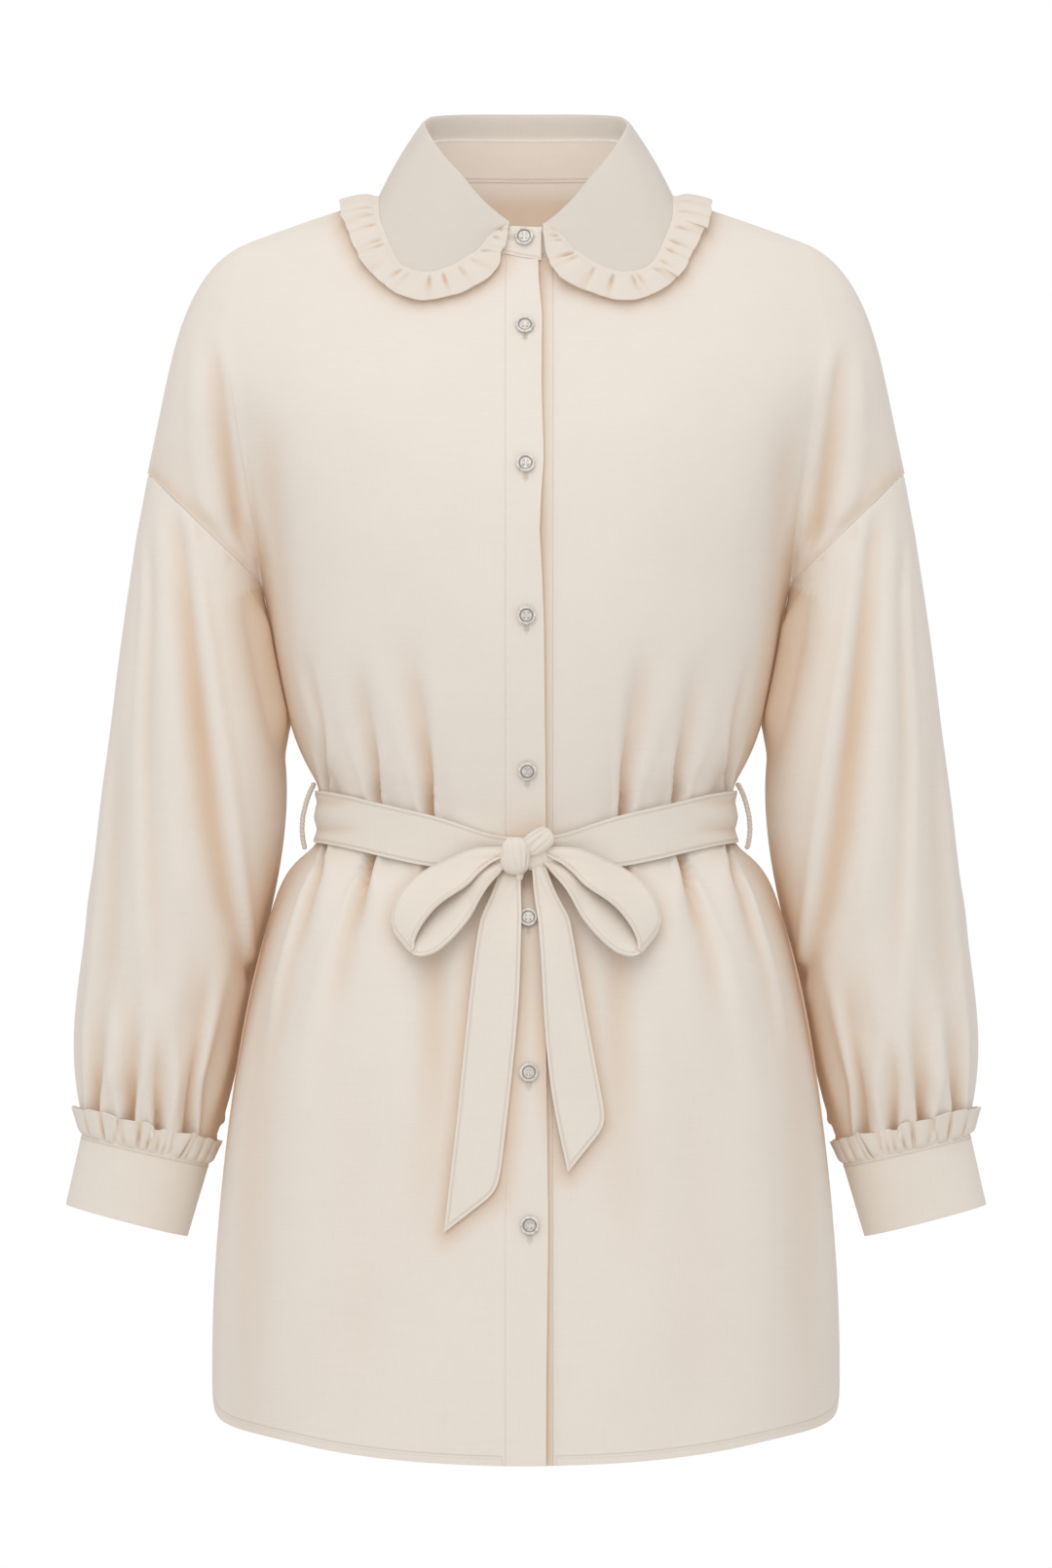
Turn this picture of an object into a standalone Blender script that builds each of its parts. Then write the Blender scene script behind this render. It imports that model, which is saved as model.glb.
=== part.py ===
"""Tunic top with a frilled round collar, balloon sleeves and a tie belt, filled out as it is worn.

The cloth is a set of thin walls. Each cut piece is its own object: fronts, back, button placket and band, sleeves,
cuffs, frills, collar, belt and bow. Lengths below are in millimetres, and MM turns them into metres. X runs to the
wearer's left, -Y to the front and +Z up. The origin is at the middle of the neck, level with the shoulder seams'
neck ends. A drop is a depth below the origin, and a turn is an angle round the body from the centre front.
"""

import math
from bisect import bisect_right
from collections import namedtuple

import bmesh
import bpy
from mathutils import Vector

MM = 0.001
WALL = 1.1  # one ply of cloth
BAND_WALL = 1.6  # two plies, as in the placket, cuffs and collar stand
GAP = 0.3  # between pieces at a seam
HALF_GAP = GAP / 2
FRONT, BACK = -1, 1
RIGHT, LEFT = -1, 1  # the wearer's sides

MIDDLE_Y = 4  # the side seams and the shoulder seams at the neck
NECK_HALF_WIDTH = 69
NECK_FRONT_DROP = 42
NECK_RISE = 54  # from the neckline's front to its back
NECK_SWEEP, NECK_SWEEP_POWER = 0.552, 1.2  # how soon the neckline climbs to the shoulders
NECK_SLANT, NECK_SLANT_REACH = 0.2, 22  # each side of the neckline runs down into its lapped end
UNDERARM_DROP, UNDERARM_ACROSS = 240, 162
SHOULDER_END_DROP = 29  # where the sleeve cap's crease starts on the shoulder seam
ARMHOLE_TOP_DROP, ARMHOLE_TOP_ACROSS = 171, 233.5
HEM_DROP = 783
HEM_SIDE_RISE = 41
HEM_RISE_START = 575
WAIST_DROP = 383
WAIST_DIP = 22  # the tied belt hangs lower at the front
WAIST_DIP_REACH = 60

PLACKET_SEAM = 14  # across from the centre front, on the wearer's right
PLACKET_EDGE_TOP, PLACKET_EDGE_HEM = -9.3, -13.2  # its free edge, across on the left
BAND_SEAM = 18  # the button band, on the wearer's left
BAND_EDGE = -12
LAP_DEPTH = 2.4  # how far the left front lies under the placket
LAP_REACH = 50

Shoulder = namedtuple("Shoulder", "drop reach middle")
SHOULDER = (
    Shoulder(-14, 69, 4),
    Shoulder(-5, 69, 4),
    Shoulder(2.6, 92, 4),
    Shoulder(9, 113, 4),
    Shoulder(15, 131, 4),
    Shoulder(20, 145, 4),
    Shoulder(25, 159, 4),
    Shoulder(29, 170, 4),
    Shoulder(34, 181, 4.3),
    Shoulder(44, 193, 5),
    Shoulder(58, 203, 5.5),
    Shoulder(78, 212, 6.5),
    Shoulder(102, 219, 7.5),
    Shoulder(126, 224, 8.5),
    Shoulder(150, 229, 9.5),
    Shoulder(ARMHOLE_TOP_DROP, ARMHOLE_TOP_ACROSS, 10),
    Shoulder(217, 242, 11),
    Shoulder(UNDERARM_DROP, 246, 11),
)

Chest = namedtuple("Chest", "drop front back")
CHEST = (
    Chest(-14, 26, 62),
    Chest(-5, 30, 64),
    Chest(15, 41, 70),
    Chest(42, 55, 77),
    Chest(60, 66, 81),
    Chest(90, 84, 87),
    Chest(132, 105, 92),
    Chest(163, 114, 93),
    Chest(200, 121, 93),
    Chest(240, 122, 92),
)

Crease = namedtuple("Crease", "drop across turn front back arm_front arm_back")
CREASE = (
    Crease(29, 170, 60, 5, 5, -30, 45),
    Crease(60, 181, 60, -24, 38, -40, 55),
    Crease(90, 184, 60, -36, 48, -46, 61),
    Crease(108, 183, 65, -42, 52, -47, 62),
    Crease(132, 178, 72, -42, 54, -46, 62),
    Crease(163, 173, 78, -34, 48, -42, 62),
    Crease(197, 168, 83, -23, 36, -38, 60),
    Crease(225, 163.5, 87, -8, 19, -36, 58),
    Crease(UNDERARM_DROP, UNDERARM_ACROSS, 90, 4, 4, -36, 58),
)
CREASE_STARTS, CREASE_IS_FULL = 85, 150
LIP = 0.2  # share of the sleeve cap's width over which the crease rounds off

Body = namedtuple("Body", "drop half_width front back")
BODY = (
    Body(UNDERARM_DROP, UNDERARM_ACROSS, 122, 92),
    Body(258, 159.6, 122, 92),
    Body(279, 156, 120, 91),
    Body(300, 151.8, 117, 89),
    Body(327, 145.2, 110, 86),
    Body(342, 139.8, 105, 84),
    Body(354, 134, 101, 82),
    Body(366, 126.8, 96, 80),
    Body(383, 126.4, 95, 79),
    Body(400, 127, 96, 80),
    Body(406, 137, 101, 86),
    Body(414, 145.8, 107, 93),
    Body(426, 152.4, 111, 99),
    Body(449, 159.6, 117, 107),
    Body(487, 169.8, 123, 116),
    Body(535, 178, 128, 122),
    Body(606, 186.6, 133, 127),
    Body(654, 190, 135.5, 129),
    Body(714, 192.6, 138, 132),
    Body(783, 193.5, 139, 134),
)

Fold = namedtuple("Fold", "turn half_turn deep_drop fade_drop depth")
FOLDS = (
    Fold(27, 4, 362, 235, 9),
    Fold(45, 4, 362, 275, 9),
    Fold(71, 5, 362, 255, 9),
    Fold(26, 5, 405, 520, 8),
    Fold(46, 5, 405, 490, 8),
    Fold(76, 5, 405, 520, 9),
    Fold(20, 6, 660, 470, 4),
    Fold(36, 6, 710, 450, 4),
)
FOLD_END = 6  # how quickly a gather closes at the belt

FRONT_TURNS = (None, 13, 20, 27, 36, 45, 54, 63, 71, 80, 90)
BACK_TURNS = (0, 10, 20, 27, 36, 45, 54, 63, 71, 80, 90)
FRONT_NECK_COLUMNS = 4
BACK_NECK_COLUMNS = 4
UPPER_SHARES = (0, 0.03, 0.09, 0.18, 0.3, 0.44, 0.59, 0.74, 0.88, 1)
LOWER_DROPS = (240, 265, 290, 312, 330, 345, 357, 366, 383, 400, 408, 420, 440, 475, 520, 575, 640, 715, 783)
CAP_COLUMNS = 6

Ring = namedtuple("Ring", "share outer_x outer_drop inner_x inner_drop middle half_depth")
SLEEVE = (
    Ring(0.00, 273.9, 579.5, 197.2, 597.4, 26, 27.5),
    Ring(0.03, 274.5, 571, 194, 588, 26, 29.5),
    Ring(0.06, 276.5, 562, 189, 576, 26, 34),
    Ring(0.11, 278.5, 546, 182, 556, 27, 42),
    Ring(0.17, 280, 524, 173, 531, 28, 50),
    Ring(0.25, 278.5, 496, 166, 499, 28, 53),
    Ring(0.35, 274, 461, 159, 463, 25, 55),
    Ring(0.46, 268.5, 420, 152.5, 426, 21, 56),
    Ring(0.57, 263, 375, 148, 393, 19, 56),
    Ring(0.68, 258, 333, 146.3, 362, 17, 56),
    Ring(0.78, 253, 292, 149.5, 334, 15, 55),
    Ring(0.87, 247, 249, 156, 305, 13, 54),
    Ring(0.94, 240.5, 212, 161.5, 276, 12, 52),
    Ring(1.00, ARMHOLE_TOP_ACROSS, ARMHOLE_TOP_DROP, UNDERARM_ACROSS, UNDERARM_DROP, 10, 50),
)
SLEEVE_SEGMENTS = 24
SLEEVE_GATHERS = 12
SLEEVE_GATHER_DEPTH = 3.2
GATHERS_START, GATHERS_END = (0.03, 0.12), (0.15, 0.4)  # shares of the sleeve over which they grow and fade
SLEEVE_CLEARANCE, CLEARANCE_REACH = 3, (5, 30)  # from the body, and the drops below the underarm where it grows
ARMHOLE_BLEND = 0.8  # from here up the sleeve takes the armhole's shape

CUFF_TOP = Ring(1, 275.4, 579.9, 195.6, 598.1, 26, 29)
CUFF_BOTTOM = Ring(0, 285, 622.8, 208.8, 642.6, 24, 28)
CUFF_FRILL_WAVES = 18
CUFF_FRILL_SHARE = 0.058  # how far up the sleeve it stands
CUFF_FRILL_LEAN = 0.8
FRILL_WAVE = 1.9
FRILL_STEPS = 4  # columns to a wave

STAND_RISE, STAND_LEAN = 26, 7
STAND_LAP = (300, 340)  # the turns over which the wearer's left end passes under the right
STAND_TUCK = 1.2  # how much further in than the front that end lies
STAND_ROWS = 2
ROLL_RADIUS = 3.2
FALL_WALL = 1.3
FALL_LIFT = 2.4  # the collar's face above the cloth that it lies on
FALL_SEAM_GAP = 0.8
FALL_BELLY = 2
ROLL_START, ROLL_END = 0.12, 0.28  # shares of the collar from its seam
FRILL_START = 0.03
FRILL_TUCK = 0.6  # the frill's edge lies this much nearer the cloth than its waves would take it
COLLAR_FRILL_WAVES = 36
COLLAR_COLUMNS = 36

Collar = namedtuple("Collar", "length turn roll_height edge_across edge_drop frill_across frill_drop")
COLLAR = (
    Collar(0, 12, 5, 12.6, 16, 10.3, 29),
    Collar(23, 24, 9, 27.6, 34, 17, 46),
    Collar(43, 38, 12.5, 43.8, 44.4, 40, 61),
    Collar(59, 49, 14, 60, 48.6, 62, 65.5),
    Collar(77, 60, 14.5, 76.8, 44.4, 86, 56),
    Collar(94, 70, 15, 85.8, 31, 99, 40),
    Collar(113, 79, 15, 91.5, 16, 109, 24),
    Collar(147, 92, 15, 92, 2.6, 113, 9),
    Collar(174, 106, 15.5, 89, 6, 107, 16),
    Collar(195, 120, 16, 80, 8, 95, 22),
    Collar(219, 140, 16.5, 58, 5, 68, 21),
    Collar(249, 160, 17, 30, 4, 35, 20),
    Collar(279, 180, 17, 0, 3.5, 0, 19.5),
)
SHOULDER_LENGTH, HALF_LENGTH = 147, 279  # along the collar's edge, to the shoulder and to the centre back

BUTTON_DROPS = (84, 169, 261, 355, 444, 537, 629)
BUTTON_STEPS = 14
BUTTON_PROFILE = ((0, 1.5), (3.5, 1.5), (4.3, 2.2), (5.1, 2.2), (5.75, 1.4), (5.1, 0), (0, 0))
STAND_BUTTON_X = -1.2
BUTTON_X_TOP, BUTTON_X_HEM = -0.8, 3.2
BUTTON_SEAT = 0.45  # a button's back above the placket

FRONT_ROW_SEARCH, FRONT_ROW_STEPS = 60, 30  # finding the row that passes a drop, by halving

BELT_WALL = 1.8
BELT_HALF_WIDTH = 16
BELT_KNOT_HALF_WIDTH = 9
BELT_NARROWS = (8, 24)  # turns from the centre front
BELT_COLUMNS = 40
KNOT_CENTRE = (0.6, 403)  # x and drop
KNOT_RADII = (16, 8, 14)
KNOT_SQUARENESS = 0.75
KNOT_SKEW = 0.16  # its wearer's left half sits higher
KNOT_TILT = 22
KNOT_GROOVE = 0.14
KNOT_SEAT = 2
STRIP_WALL = 1.6

Loop = namedtuple("Loop", "share across drop out wide_across wide_drop wide_out")
LOOP = (
    Loop(0, 17.2, 407, 11, 0, -8.5, 0),
    Loop(0.1, 24, 413.5, 15, 4, -13, -3),
    Loop(0.22, 36, 423.5, 19, 9, -17, -8),
    Loop(0.34, 52, 433.5, 21, 13, -17, -12),
    Loop(0.44, 64, 447.5, 20, 14.5, -17, -12),
    Loop(0.51, 70, 461, 18, 13, -15, -11),
    Loop(0.56, 67.5, 467.5, 17, 12.5, -14, -10),
    Loop(0.62, 59, 467, 16, 12.5, -19, -10),
    Loop(0.72, 45.5, 457.5, 15, 12, -24, -10),
    Loop(0.84, 31, 440, 14, 9, -22, -8.5),
    Loop(0.94, 21, 424, 12.5, 3, -12, -4),
    Loop(1, 17.2, 415.5, 11.5, 0, -4.5, 0),
)
LOOP_COLUMNS = 20

Tail = namedtuple("Tail", "share left_x left_drop right_x right_drop out")
TAILS = {
    RIGHT: (
        Tail(0, -17.5, 417.5, -0.6, 417.5, 7),
        Tail(0.12, -26.5, 437.5, -2.4, 433, 7.5),
        Tail(0.32, -33.3, 484.5, -4, 487, 4),
        Tail(0.62, -41, 559, -8.6, 539, 2.3),
        Tail(1, -49.6, 633.5, -16.7, 608, 2.3),
    ),
    LEFT: (
        Tail(0, 2, 417.5, 14, 416.5, 7),
        Tail(0.15, 7.4, 442, 23.5, 432, 7.5),
        Tail(0.4, 11.2, 506, 31.2, 471, 4),
        Tail(0.7, 15.3, 548, 39.4, 518, 2.3),
        Tail(1, 25.3, 597, 48.8, 568, 2.3),
    ),
}
TAIL_ROWS = 10
TAIL_COLUMNS = 3

CARRIER = ((130.6, 363), (133.2, 368), (136, 375), (138, 383), (138.6, 391), (137.8, 398), (136.2, 402.5))
CARRIER_RADIUS = 1.6

MATERIALS = {
    "cloth": ((0.80, 0.71, 0.60, 1), 0.85),
    "button": ((0.62, 0.58, 0.52, 1), 0.25),
}


def blend(low, high, share):
    return low + (high - low) * share


def ease(low, high, value):
    """0 below low, 1 above high, and a smooth step between."""
    share = min(max((value - low) / (high - low), 0), 1)
    return share * share * (3 - 2 * share)


def bell(distance, reach):
    return math.exp(-((distance / reach) ** 2))


def smooth_curve(keys, values):
    """A smooth curve through the points, which never swings past them."""
    steps = [b - a for a, b in zip(keys, keys[1:])]
    slopes = [(b - a) / step for a, b, step in zip(values, values[1:], steps)]
    turns = [2 * a * b / (a + b) if a * b > 0 else 0 for a, b in zip(slopes, slopes[1:])]
    tangents = [slopes[0], *turns, slopes[-1]]

    def at(key):
        key = min(max(key, keys[0]), keys[-1])
        i = min(bisect_right(keys, key) - 1, len(steps) - 1)
        t = (key - keys[i]) / steps[i]
        start = values[i] * (1 + 2 * t) * (1 - t) ** 2 + values[i + 1] * (3 - 2 * t) * t * t
        return start + steps[i] * t * (1 - t) * ((1 - t) * tangents[i] - t * tangents[i + 1])

    return at


def smooth_table(rows):
    """A function from the table's first column to a whole row, each column read from a smooth curve."""
    kind = type(rows[0])
    keys = [row[0] for row in rows]
    curves = [smooth_curve(keys, column) for column in list(zip(*rows))[1:]]
    return lambda key: kind(key, *(curve(key) for curve in curves))


shoulder_at = smooth_table(SHOULDER)
chest_at = smooth_table(CHEST)
crease_at = smooth_table(CREASE)
body_at = smooth_table(BODY)
sleeve_at = smooth_table(SLEEVE)


def chest_y(across, drop, face):
    """The y of the chest or the back above the underarm, at a distance across from the centre line."""
    shoulder, crease, chest = shoulder_at(drop), crease_at(drop), chest_at(drop)
    depth = chest.front if face == FRONT else chest.back
    whole = shoulder.middle + face * depth * math.sqrt(max(0, 1 - (across / shoulder.reach) ** 2))
    folded_share = ease(CREASE_STARTS, CREASE_IS_FULL, drop)
    if folded_share == 0:
        return whole
    floor = crease.front if face == FRONT else crease.back
    if across <= crease.across:
        steepest = math.radians(crease.turn)
        angle = math.asin(min(1, across / crease.across * math.sin(steepest)))
        rise = (math.cos(angle) - math.cos(steepest)) / (1 - math.cos(steepest))
        folded = blend(floor, MIDDLE_Y + face * depth, rise)
    else:
        arm = crease.arm_front if face == FRONT else crease.arm_back
        share = min(1, (across - crease.across) / (shoulder.reach - crease.across))
        round_arm = blend(shoulder.middle, arm, math.sqrt(1 - share * share))
        folded = round_arm + (floor - arm) * math.exp(-share / LIP) * (1 - share)
    return blend(whole, folded, folded_share)


def neck_edge(turn):
    """(distance across, drop) of the neckline at a turn from 0, the centre front, to 180 degrees."""
    angle = math.radians(turn)
    across = NECK_HALF_WIDTH * math.sin(angle)
    climb = 1 - math.exp(-(((1 - math.cos(angle)) / NECK_SWEEP) ** NECK_SWEEP_POWER))
    slant = NECK_SLANT * across * bell(across, NECK_SLANT_REACH) if turn < 90 else 0
    return across, NECK_FRONT_DROP - NECK_RISE * climb - slant


DEPTH_WAYS = Vector((0, 1, 0))  # square to the shoulder and side seams
ARMHOLE_DROP, ARMHOLE_REACH = UNDERARM_DROP - ARMHOLE_TOP_DROP, ARMHOLE_TOP_ACROSS - UNDERARM_ACROSS
SLEEVE_WAYS = Vector((ARMHOLE_DROP, 0, -ARMHOLE_REACH)).normalized()  # square to the armhole


def fold_depth(turn, drop):
    """How far the gathers pull the cloth in at this place. The belt presses them flat under it."""
    total = 0
    for fold in FOLDS:
        along = (drop - fold.deep_drop) / (fold.fade_drop - fold.deep_drop)
        reach = fold.half_turn * (1 + max(along, 0))
        across = bell(turn - fold.turn, reach)
        if along < 0:
            total += fold.depth * across * bell(drop - fold.deep_drop, FOLD_END)
        elif along < 1:
            total += fold.depth * across * (1 - along) ** 1.5
    return total


def body_drop(turn, drop, face):
    """The height of a row that is level at the side: lower at the belt's front, and curved at the hem."""
    dip = WAIST_DIP * bell(drop - WAIST_DROP, WAIST_DIP_REACH) * math.cos(math.radians(turn)) ** 3
    rise = HEM_SIDE_RISE * (turn / 90) ** 2 * ease(HEM_RISE_START, HEM_DROP, drop)
    return drop + (dip if face == FRONT else 0) - rise


def body_point(side, turn, drop, face, inset=0, gathered=1):
    """A point of the body below the underarm, moved in by inset."""
    row = body_at(drop)
    depth = row.front if face == FRONT else row.back
    angle = math.radians(turn)
    x, y = row.half_width * math.sin(angle), face * depth * math.cos(angle)
    out = Vector((x / row.half_width**2, y / depth**2)).normalized()
    x, y = Vector((x, y)) - out * (inset + gathered * fold_depth(turn, drop))
    return Vector((side * x, MIDDLE_Y + y, -body_drop(turn, drop, face)))


def chest_normal(across, drop, face, seam=None):
    """The outward direction of the chest or back. On a seam it lies in the plane square to the seam direction."""
    step = 0.5
    inside = min(across, shoulder_at(drop + step).reach - 2 * step)
    slope_x = chest_y(inside + step, drop + step, face) - chest_y(inside - step, drop + step, face)
    slope_drop = chest_y(inside, drop + 2 * step, face) - chest_y(inside, drop, face)
    out = Vector((-face * slope_x, face * 2 * step, face * slope_drop))
    if abs(across - crease_at(drop).across) < 2 * step:
        out.x *= 1 - ease(CREASE_STARTS, CREASE_IS_FULL, drop)
    if seam:
        out -= out.project(seam)
    return out.normalized()


def chest_point(side, across, drop, face, inset=0, seam=None):
    """A point of the body above the underarm, moved in by inset."""
    point = Vector((across, chest_y(across, drop, face), -drop))
    point -= chest_normal(across, drop, face, seam) * inset
    return Vector((side * point.x, point.y, point.z))


def part_seam(point, face):
    """Moves a front's edge forward, or a back's edge back, by half the gap between them."""
    return point + Vector((0, face * HALF_GAP, 0))


def lap_depth(side, across):
    """How far the wearer's left front lies in, to pass under the placket."""
    return LAP_DEPTH * (1 - ease(BAND_SEAM, LAP_REACH, across)) if side == LEFT else 0


class Panel:
    """One side of a front or of the back: a body grid, and a sleeve cap grid that joins it at the crease."""

    def __init__(self, side, face):
        self.side, self.face = side, face
        self.turns = FRONT_TURNS if face == FRONT else BACK_TURNS
        self.neck_columns = FRONT_NECK_COLUMNS if face == FRONT else BACK_NECK_COLUMNS
        self.columns = len(self.turns) - 1
        self.rows = len(UPPER_SHARES) + len(LOWER_DROPS) - 2
        edges = {(RIGHT, FRONT): PLACKET_SEAM, (LEFT, FRONT): BAND_SEAM}
        self.first = edges.get((side, face), -GAP) + GAP

    def top(self, column):
        """(distance across, drop) of the neckline and then of the shoulder seam."""
        if column <= self.neck_columns:
            first = math.degrees(math.asin(self.first / NECK_HALF_WIDTH))
            turn = blend(first, 90, column / self.neck_columns)
            return neck_edge(turn if self.face == FRONT else 180 - turn)
        share = (column - self.neck_columns) / (self.columns - self.neck_columns)
        across = blend(NECK_HALF_WIDTH, crease_at(SHOULDER_END_DROP).across, share)
        return across, shoulder_drop(across)

    def across_at(self, column, drop):
        row = body_at(drop)
        return self.first if column == 0 else row.half_width * math.sin(math.radians(self.turns[column]))

    def upper(self, column, row, inset):
        across, drop = self.top(column)
        share = UPPER_SHARES[row]
        drop = blend(drop, UNDERARM_DROP, share)
        at_side = blend(self.top(self.columns)[0], self.across_at(self.columns, UNDERARM_DROP), share)
        across = blend(across, self.across_at(column, UNDERARM_DROP), share)
        across += (crease_at(drop).across - at_side) * (column / self.columns) ** 3
        on_seam = row == 0 and column >= self.neck_columns or row == len(UPPER_SHARES) - 1 and column == self.columns
        if on_seam and row == 0:
            across = shoulder_at(drop).reach
        lap = lap_depth(self.side, across) if self.face == FRONT else 0
        seam = DEPTH_WAYS if on_seam else None
        point = chest_point(self.side, across, drop, self.face, inset + lap, seam)
        return part_seam(point, self.face) if on_seam else point

    def lower(self, column, row, inset):
        drop = LOWER_DROPS[row]
        half_width = body_at(drop).half_width
        turn = math.degrees(math.asin(self.across_at(column, drop) / half_width))
        inset += lap_depth(self.side, self.across_at(column, drop)) if self.face == FRONT else 0
        point = body_point(self.side, turn, drop, self.face, inset)
        return part_seam(point, self.face) if column == self.columns else point

    def body(self, column, row, inset):
        last_upper = len(UPPER_SHARES) - 1
        if row <= last_upper:
            return self.upper(column, row, inset)
        return self.lower(column, row - last_upper, inset)

    def cap(self, column, row, inset):
        """Row 0 is a point on the shoulder seam, and the last row is the armhole."""
        share = UPPER_SHARES[row]
        start = blend(SHOULDER_END_DROP, UNDERARM_DROP, share)
        end = blend(SHOULDER_END_DROP, ARMHOLE_TOP_DROP, share)
        if column == 0:
            return self.upper(self.columns, row, inset)
        across_share = (1 - math.cos(math.pi * column / CAP_COLUMNS)) / 2
        across = blend(crease_at(start).across, shoulder_at(end).reach, across_share)
        drop = blend(start, end, across_share)
        if row == 0:
            return self.upper(self.columns, 0, inset)
        on_seam = column == CAP_COLUMNS
        seam = DEPTH_WAYS if on_seam else SLEEVE_WAYS if row == len(UPPER_SHARES) - 1 else None
        point = chest_point(self.side, across, drop, self.face, inset, seam)
        return part_seam(point, self.face) if on_seam else point


def shoulder_drop(across):
    """The drop of the shoulder seam at a distance across."""
    seam = [row for row in SHOULDER if -5 <= row.drop <= UNDERARM_DROP]
    return smooth_curve([row.reach for row in seam], [row.drop for row in seam])(across)


def add_grid(mesh, columns, rows, place):
    """Adds a grid whose corners are set by place(column, row, inset), and keeps each corner's column and row."""
    column_of = mesh.verts.layers.int["column"]
    row_of = mesh.verts.layers.int["row"]
    grid_of = mesh.verts.layers.int["grid"]
    number = max((vert[grid_of] for vert in mesh.verts), default=-1) + 1
    made = bmesh.ops.create_grid(mesh, x_segments=columns, y_segments=rows, size=0.5)
    for vert in made["verts"]:
        vert[column_of] = round((vert.co.x + 0.5) * columns)
        vert[row_of] = round((vert.co.y + 0.5) * rows)
        vert[grid_of] = number
        vert.co = place(vert[column_of], vert[row_of], 0) * MM


def make_wall(name, grids, wall, material="cloth"):
    """An object whose outer face is the grids, welded where they meet, and whose inner face is moved in by wall."""
    mesh = bmesh.new()
    for layer in ("column", "row", "grid"):
        mesh.verts.layers.int.new(layer)
    for columns, rows, place in grids:
        add_grid(mesh, columns, rows, place)
    bmesh.ops.remove_doubles(mesh, verts=mesh.verts, dist=0.02 * MM)
    bmesh.ops.dissolve_degenerate(mesh, edges=mesh.edges, dist=0.001 * MM)
    column_of, row_of, grid_of = (mesh.verts.layers.int[layer] for layer in ("column", "row", "grid"))
    grown = bmesh.ops.extrude_face_region(mesh, geom=mesh.faces[:])
    for item in grown["geom"]:
        if isinstance(item, bmesh.types.BMVert):
            place = grids[item[grid_of]][2]
            item.co = place(item[column_of], item[row_of], wall) * MM
    return make_object(name, mesh, material)


def make_object(name, mesh, material):
    bmesh.ops.recalc_face_normals(mesh, faces=mesh.faces)
    data = bpy.data.meshes.new(name)
    mesh.to_mesh(data)
    mesh.free()
    data.shade_smooth()
    data.set_sharp_from_angle(angle=math.radians(50))
    data.materials.append(material_of(material))
    made = bpy.data.objects.new(name, data)
    garment.objects.link(made)
    return made


def material_of(name):
    if name in bpy.data.materials:
        return bpy.data.materials[name]
    colour, roughness = MATERIALS[name]
    material = bpy.data.materials.new(name)
    material.use_nodes = True
    shader = material.node_tree.nodes["Principled BSDF"]
    shader.inputs["Base Color"].default_value = colour
    shader.inputs["Roughness"].default_value = roughness
    shader.inputs["Metallic"].default_value = 0
    return material


def make_fronts():
    last = len(UPPER_SHARES) - 1
    for side, name in ((RIGHT, "front_right"), (LEFT, "front_left")):
        panel = Panel(side, FRONT)
        make_wall(name, [(panel.columns, panel.rows, panel.body), (CAP_COLUMNS, last, panel.cap)], WALL)


def make_back():
    grids = []
    for side in (RIGHT, LEFT):
        panel = Panel(side, BACK)
        grids.append((panel.columns, panel.rows, panel.body))
        grids.append((CAP_COLUMNS, len(UPPER_SHARES) - 1, panel.cap))
    make_wall("back", grids, WALL)


def front_row(side, across, row, inset):
    """A point of the front near its centre, on the same rows as the panels."""
    if row < len(UPPER_SHARES):
        turn = math.degrees(math.asin(across / NECK_HALF_WIDTH))
        drop = blend(neck_edge(turn)[1], UNDERARM_DROP, UPPER_SHARES[row])
        return chest_point(side, across, drop, FRONT, inset)
    drop = LOWER_DROPS[row - len(UPPER_SHARES) + 1]
    turn = math.degrees(math.asin(across / body_at(drop).half_width))
    return body_point(side, turn, drop, FRONT, inset)


def make_front_bands():
    rows = len(UPPER_SHARES) + len(LOWER_DROPS) - 2

    def placket(column, row, inset):
        edge = blend(PLACKET_EDGE_TOP, PLACKET_EDGE_HEM, row / rows)
        return front_row(RIGHT, blend(PLACKET_SEAM, edge, column / 2), row, inset)

    def band(column, row, inset):
        return front_row(LEFT, blend(BAND_SEAM, BAND_EDGE, column / 2), row, LAP_DEPTH + inset)

    make_wall("placket", [(2, rows, placket)], BAND_WALL)
    make_wall("button_band", [(2, rows, band)], BAND_WALL)


def surface_normal(surface, u, v, step=0.002):
    """The direction of the surface's left-hand side, seen along u."""
    along = surface(u + step, v) - surface(u - step, v)
    up = surface(u, v + step) - surface(u, v - step)
    return along.cross(up).normalized()


def grid_on(surface, us, vs, outward=1, side=LEFT, seam=None):
    """A grid for make_wall from a surface's outer face, mirrored for the wearer's right. Its last row lies on seam."""

    def place(column, row, inset):
        u, v = us[column], vs[row]
        out = surface_normal(surface, u, v) * outward
        if seam and row == len(vs) - 1:
            out = (out - out.project(seam)).normalized()
        point = surface(u, v) - out * inset
        return Vector((side * point.x, point.y, point.z))

    return len(us) - 1, len(vs) - 1, place


def even(count, low=0, high=1):
    return [blend(low, high, i / count) for i in range(count + 1)]


def ring_point(ring, u, push=0):
    """A point round a ring, from its inner side by the front to its outer side, pushed outwards."""
    angle = 2 * math.pi * u
    share = (1 - math.cos(angle)) / 2
    across, drop = blend(ring.inner_x, ring.outer_x, share), blend(ring.inner_drop, ring.outer_drop, share)
    tilt = Vector((ring.outer_x - ring.inner_x, 0, ring.inner_drop - ring.outer_drop)).normalized()
    point = Vector((across, ring.middle - ring.half_depth * math.sin(angle), -drop))
    half = (ring.outer_x - ring.inner_x) / 2
    out = tilt * (-math.cos(angle) / half) + Vector((0, -math.sin(angle) / ring.half_depth, 0))
    return point + out.normalized() * push


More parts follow.
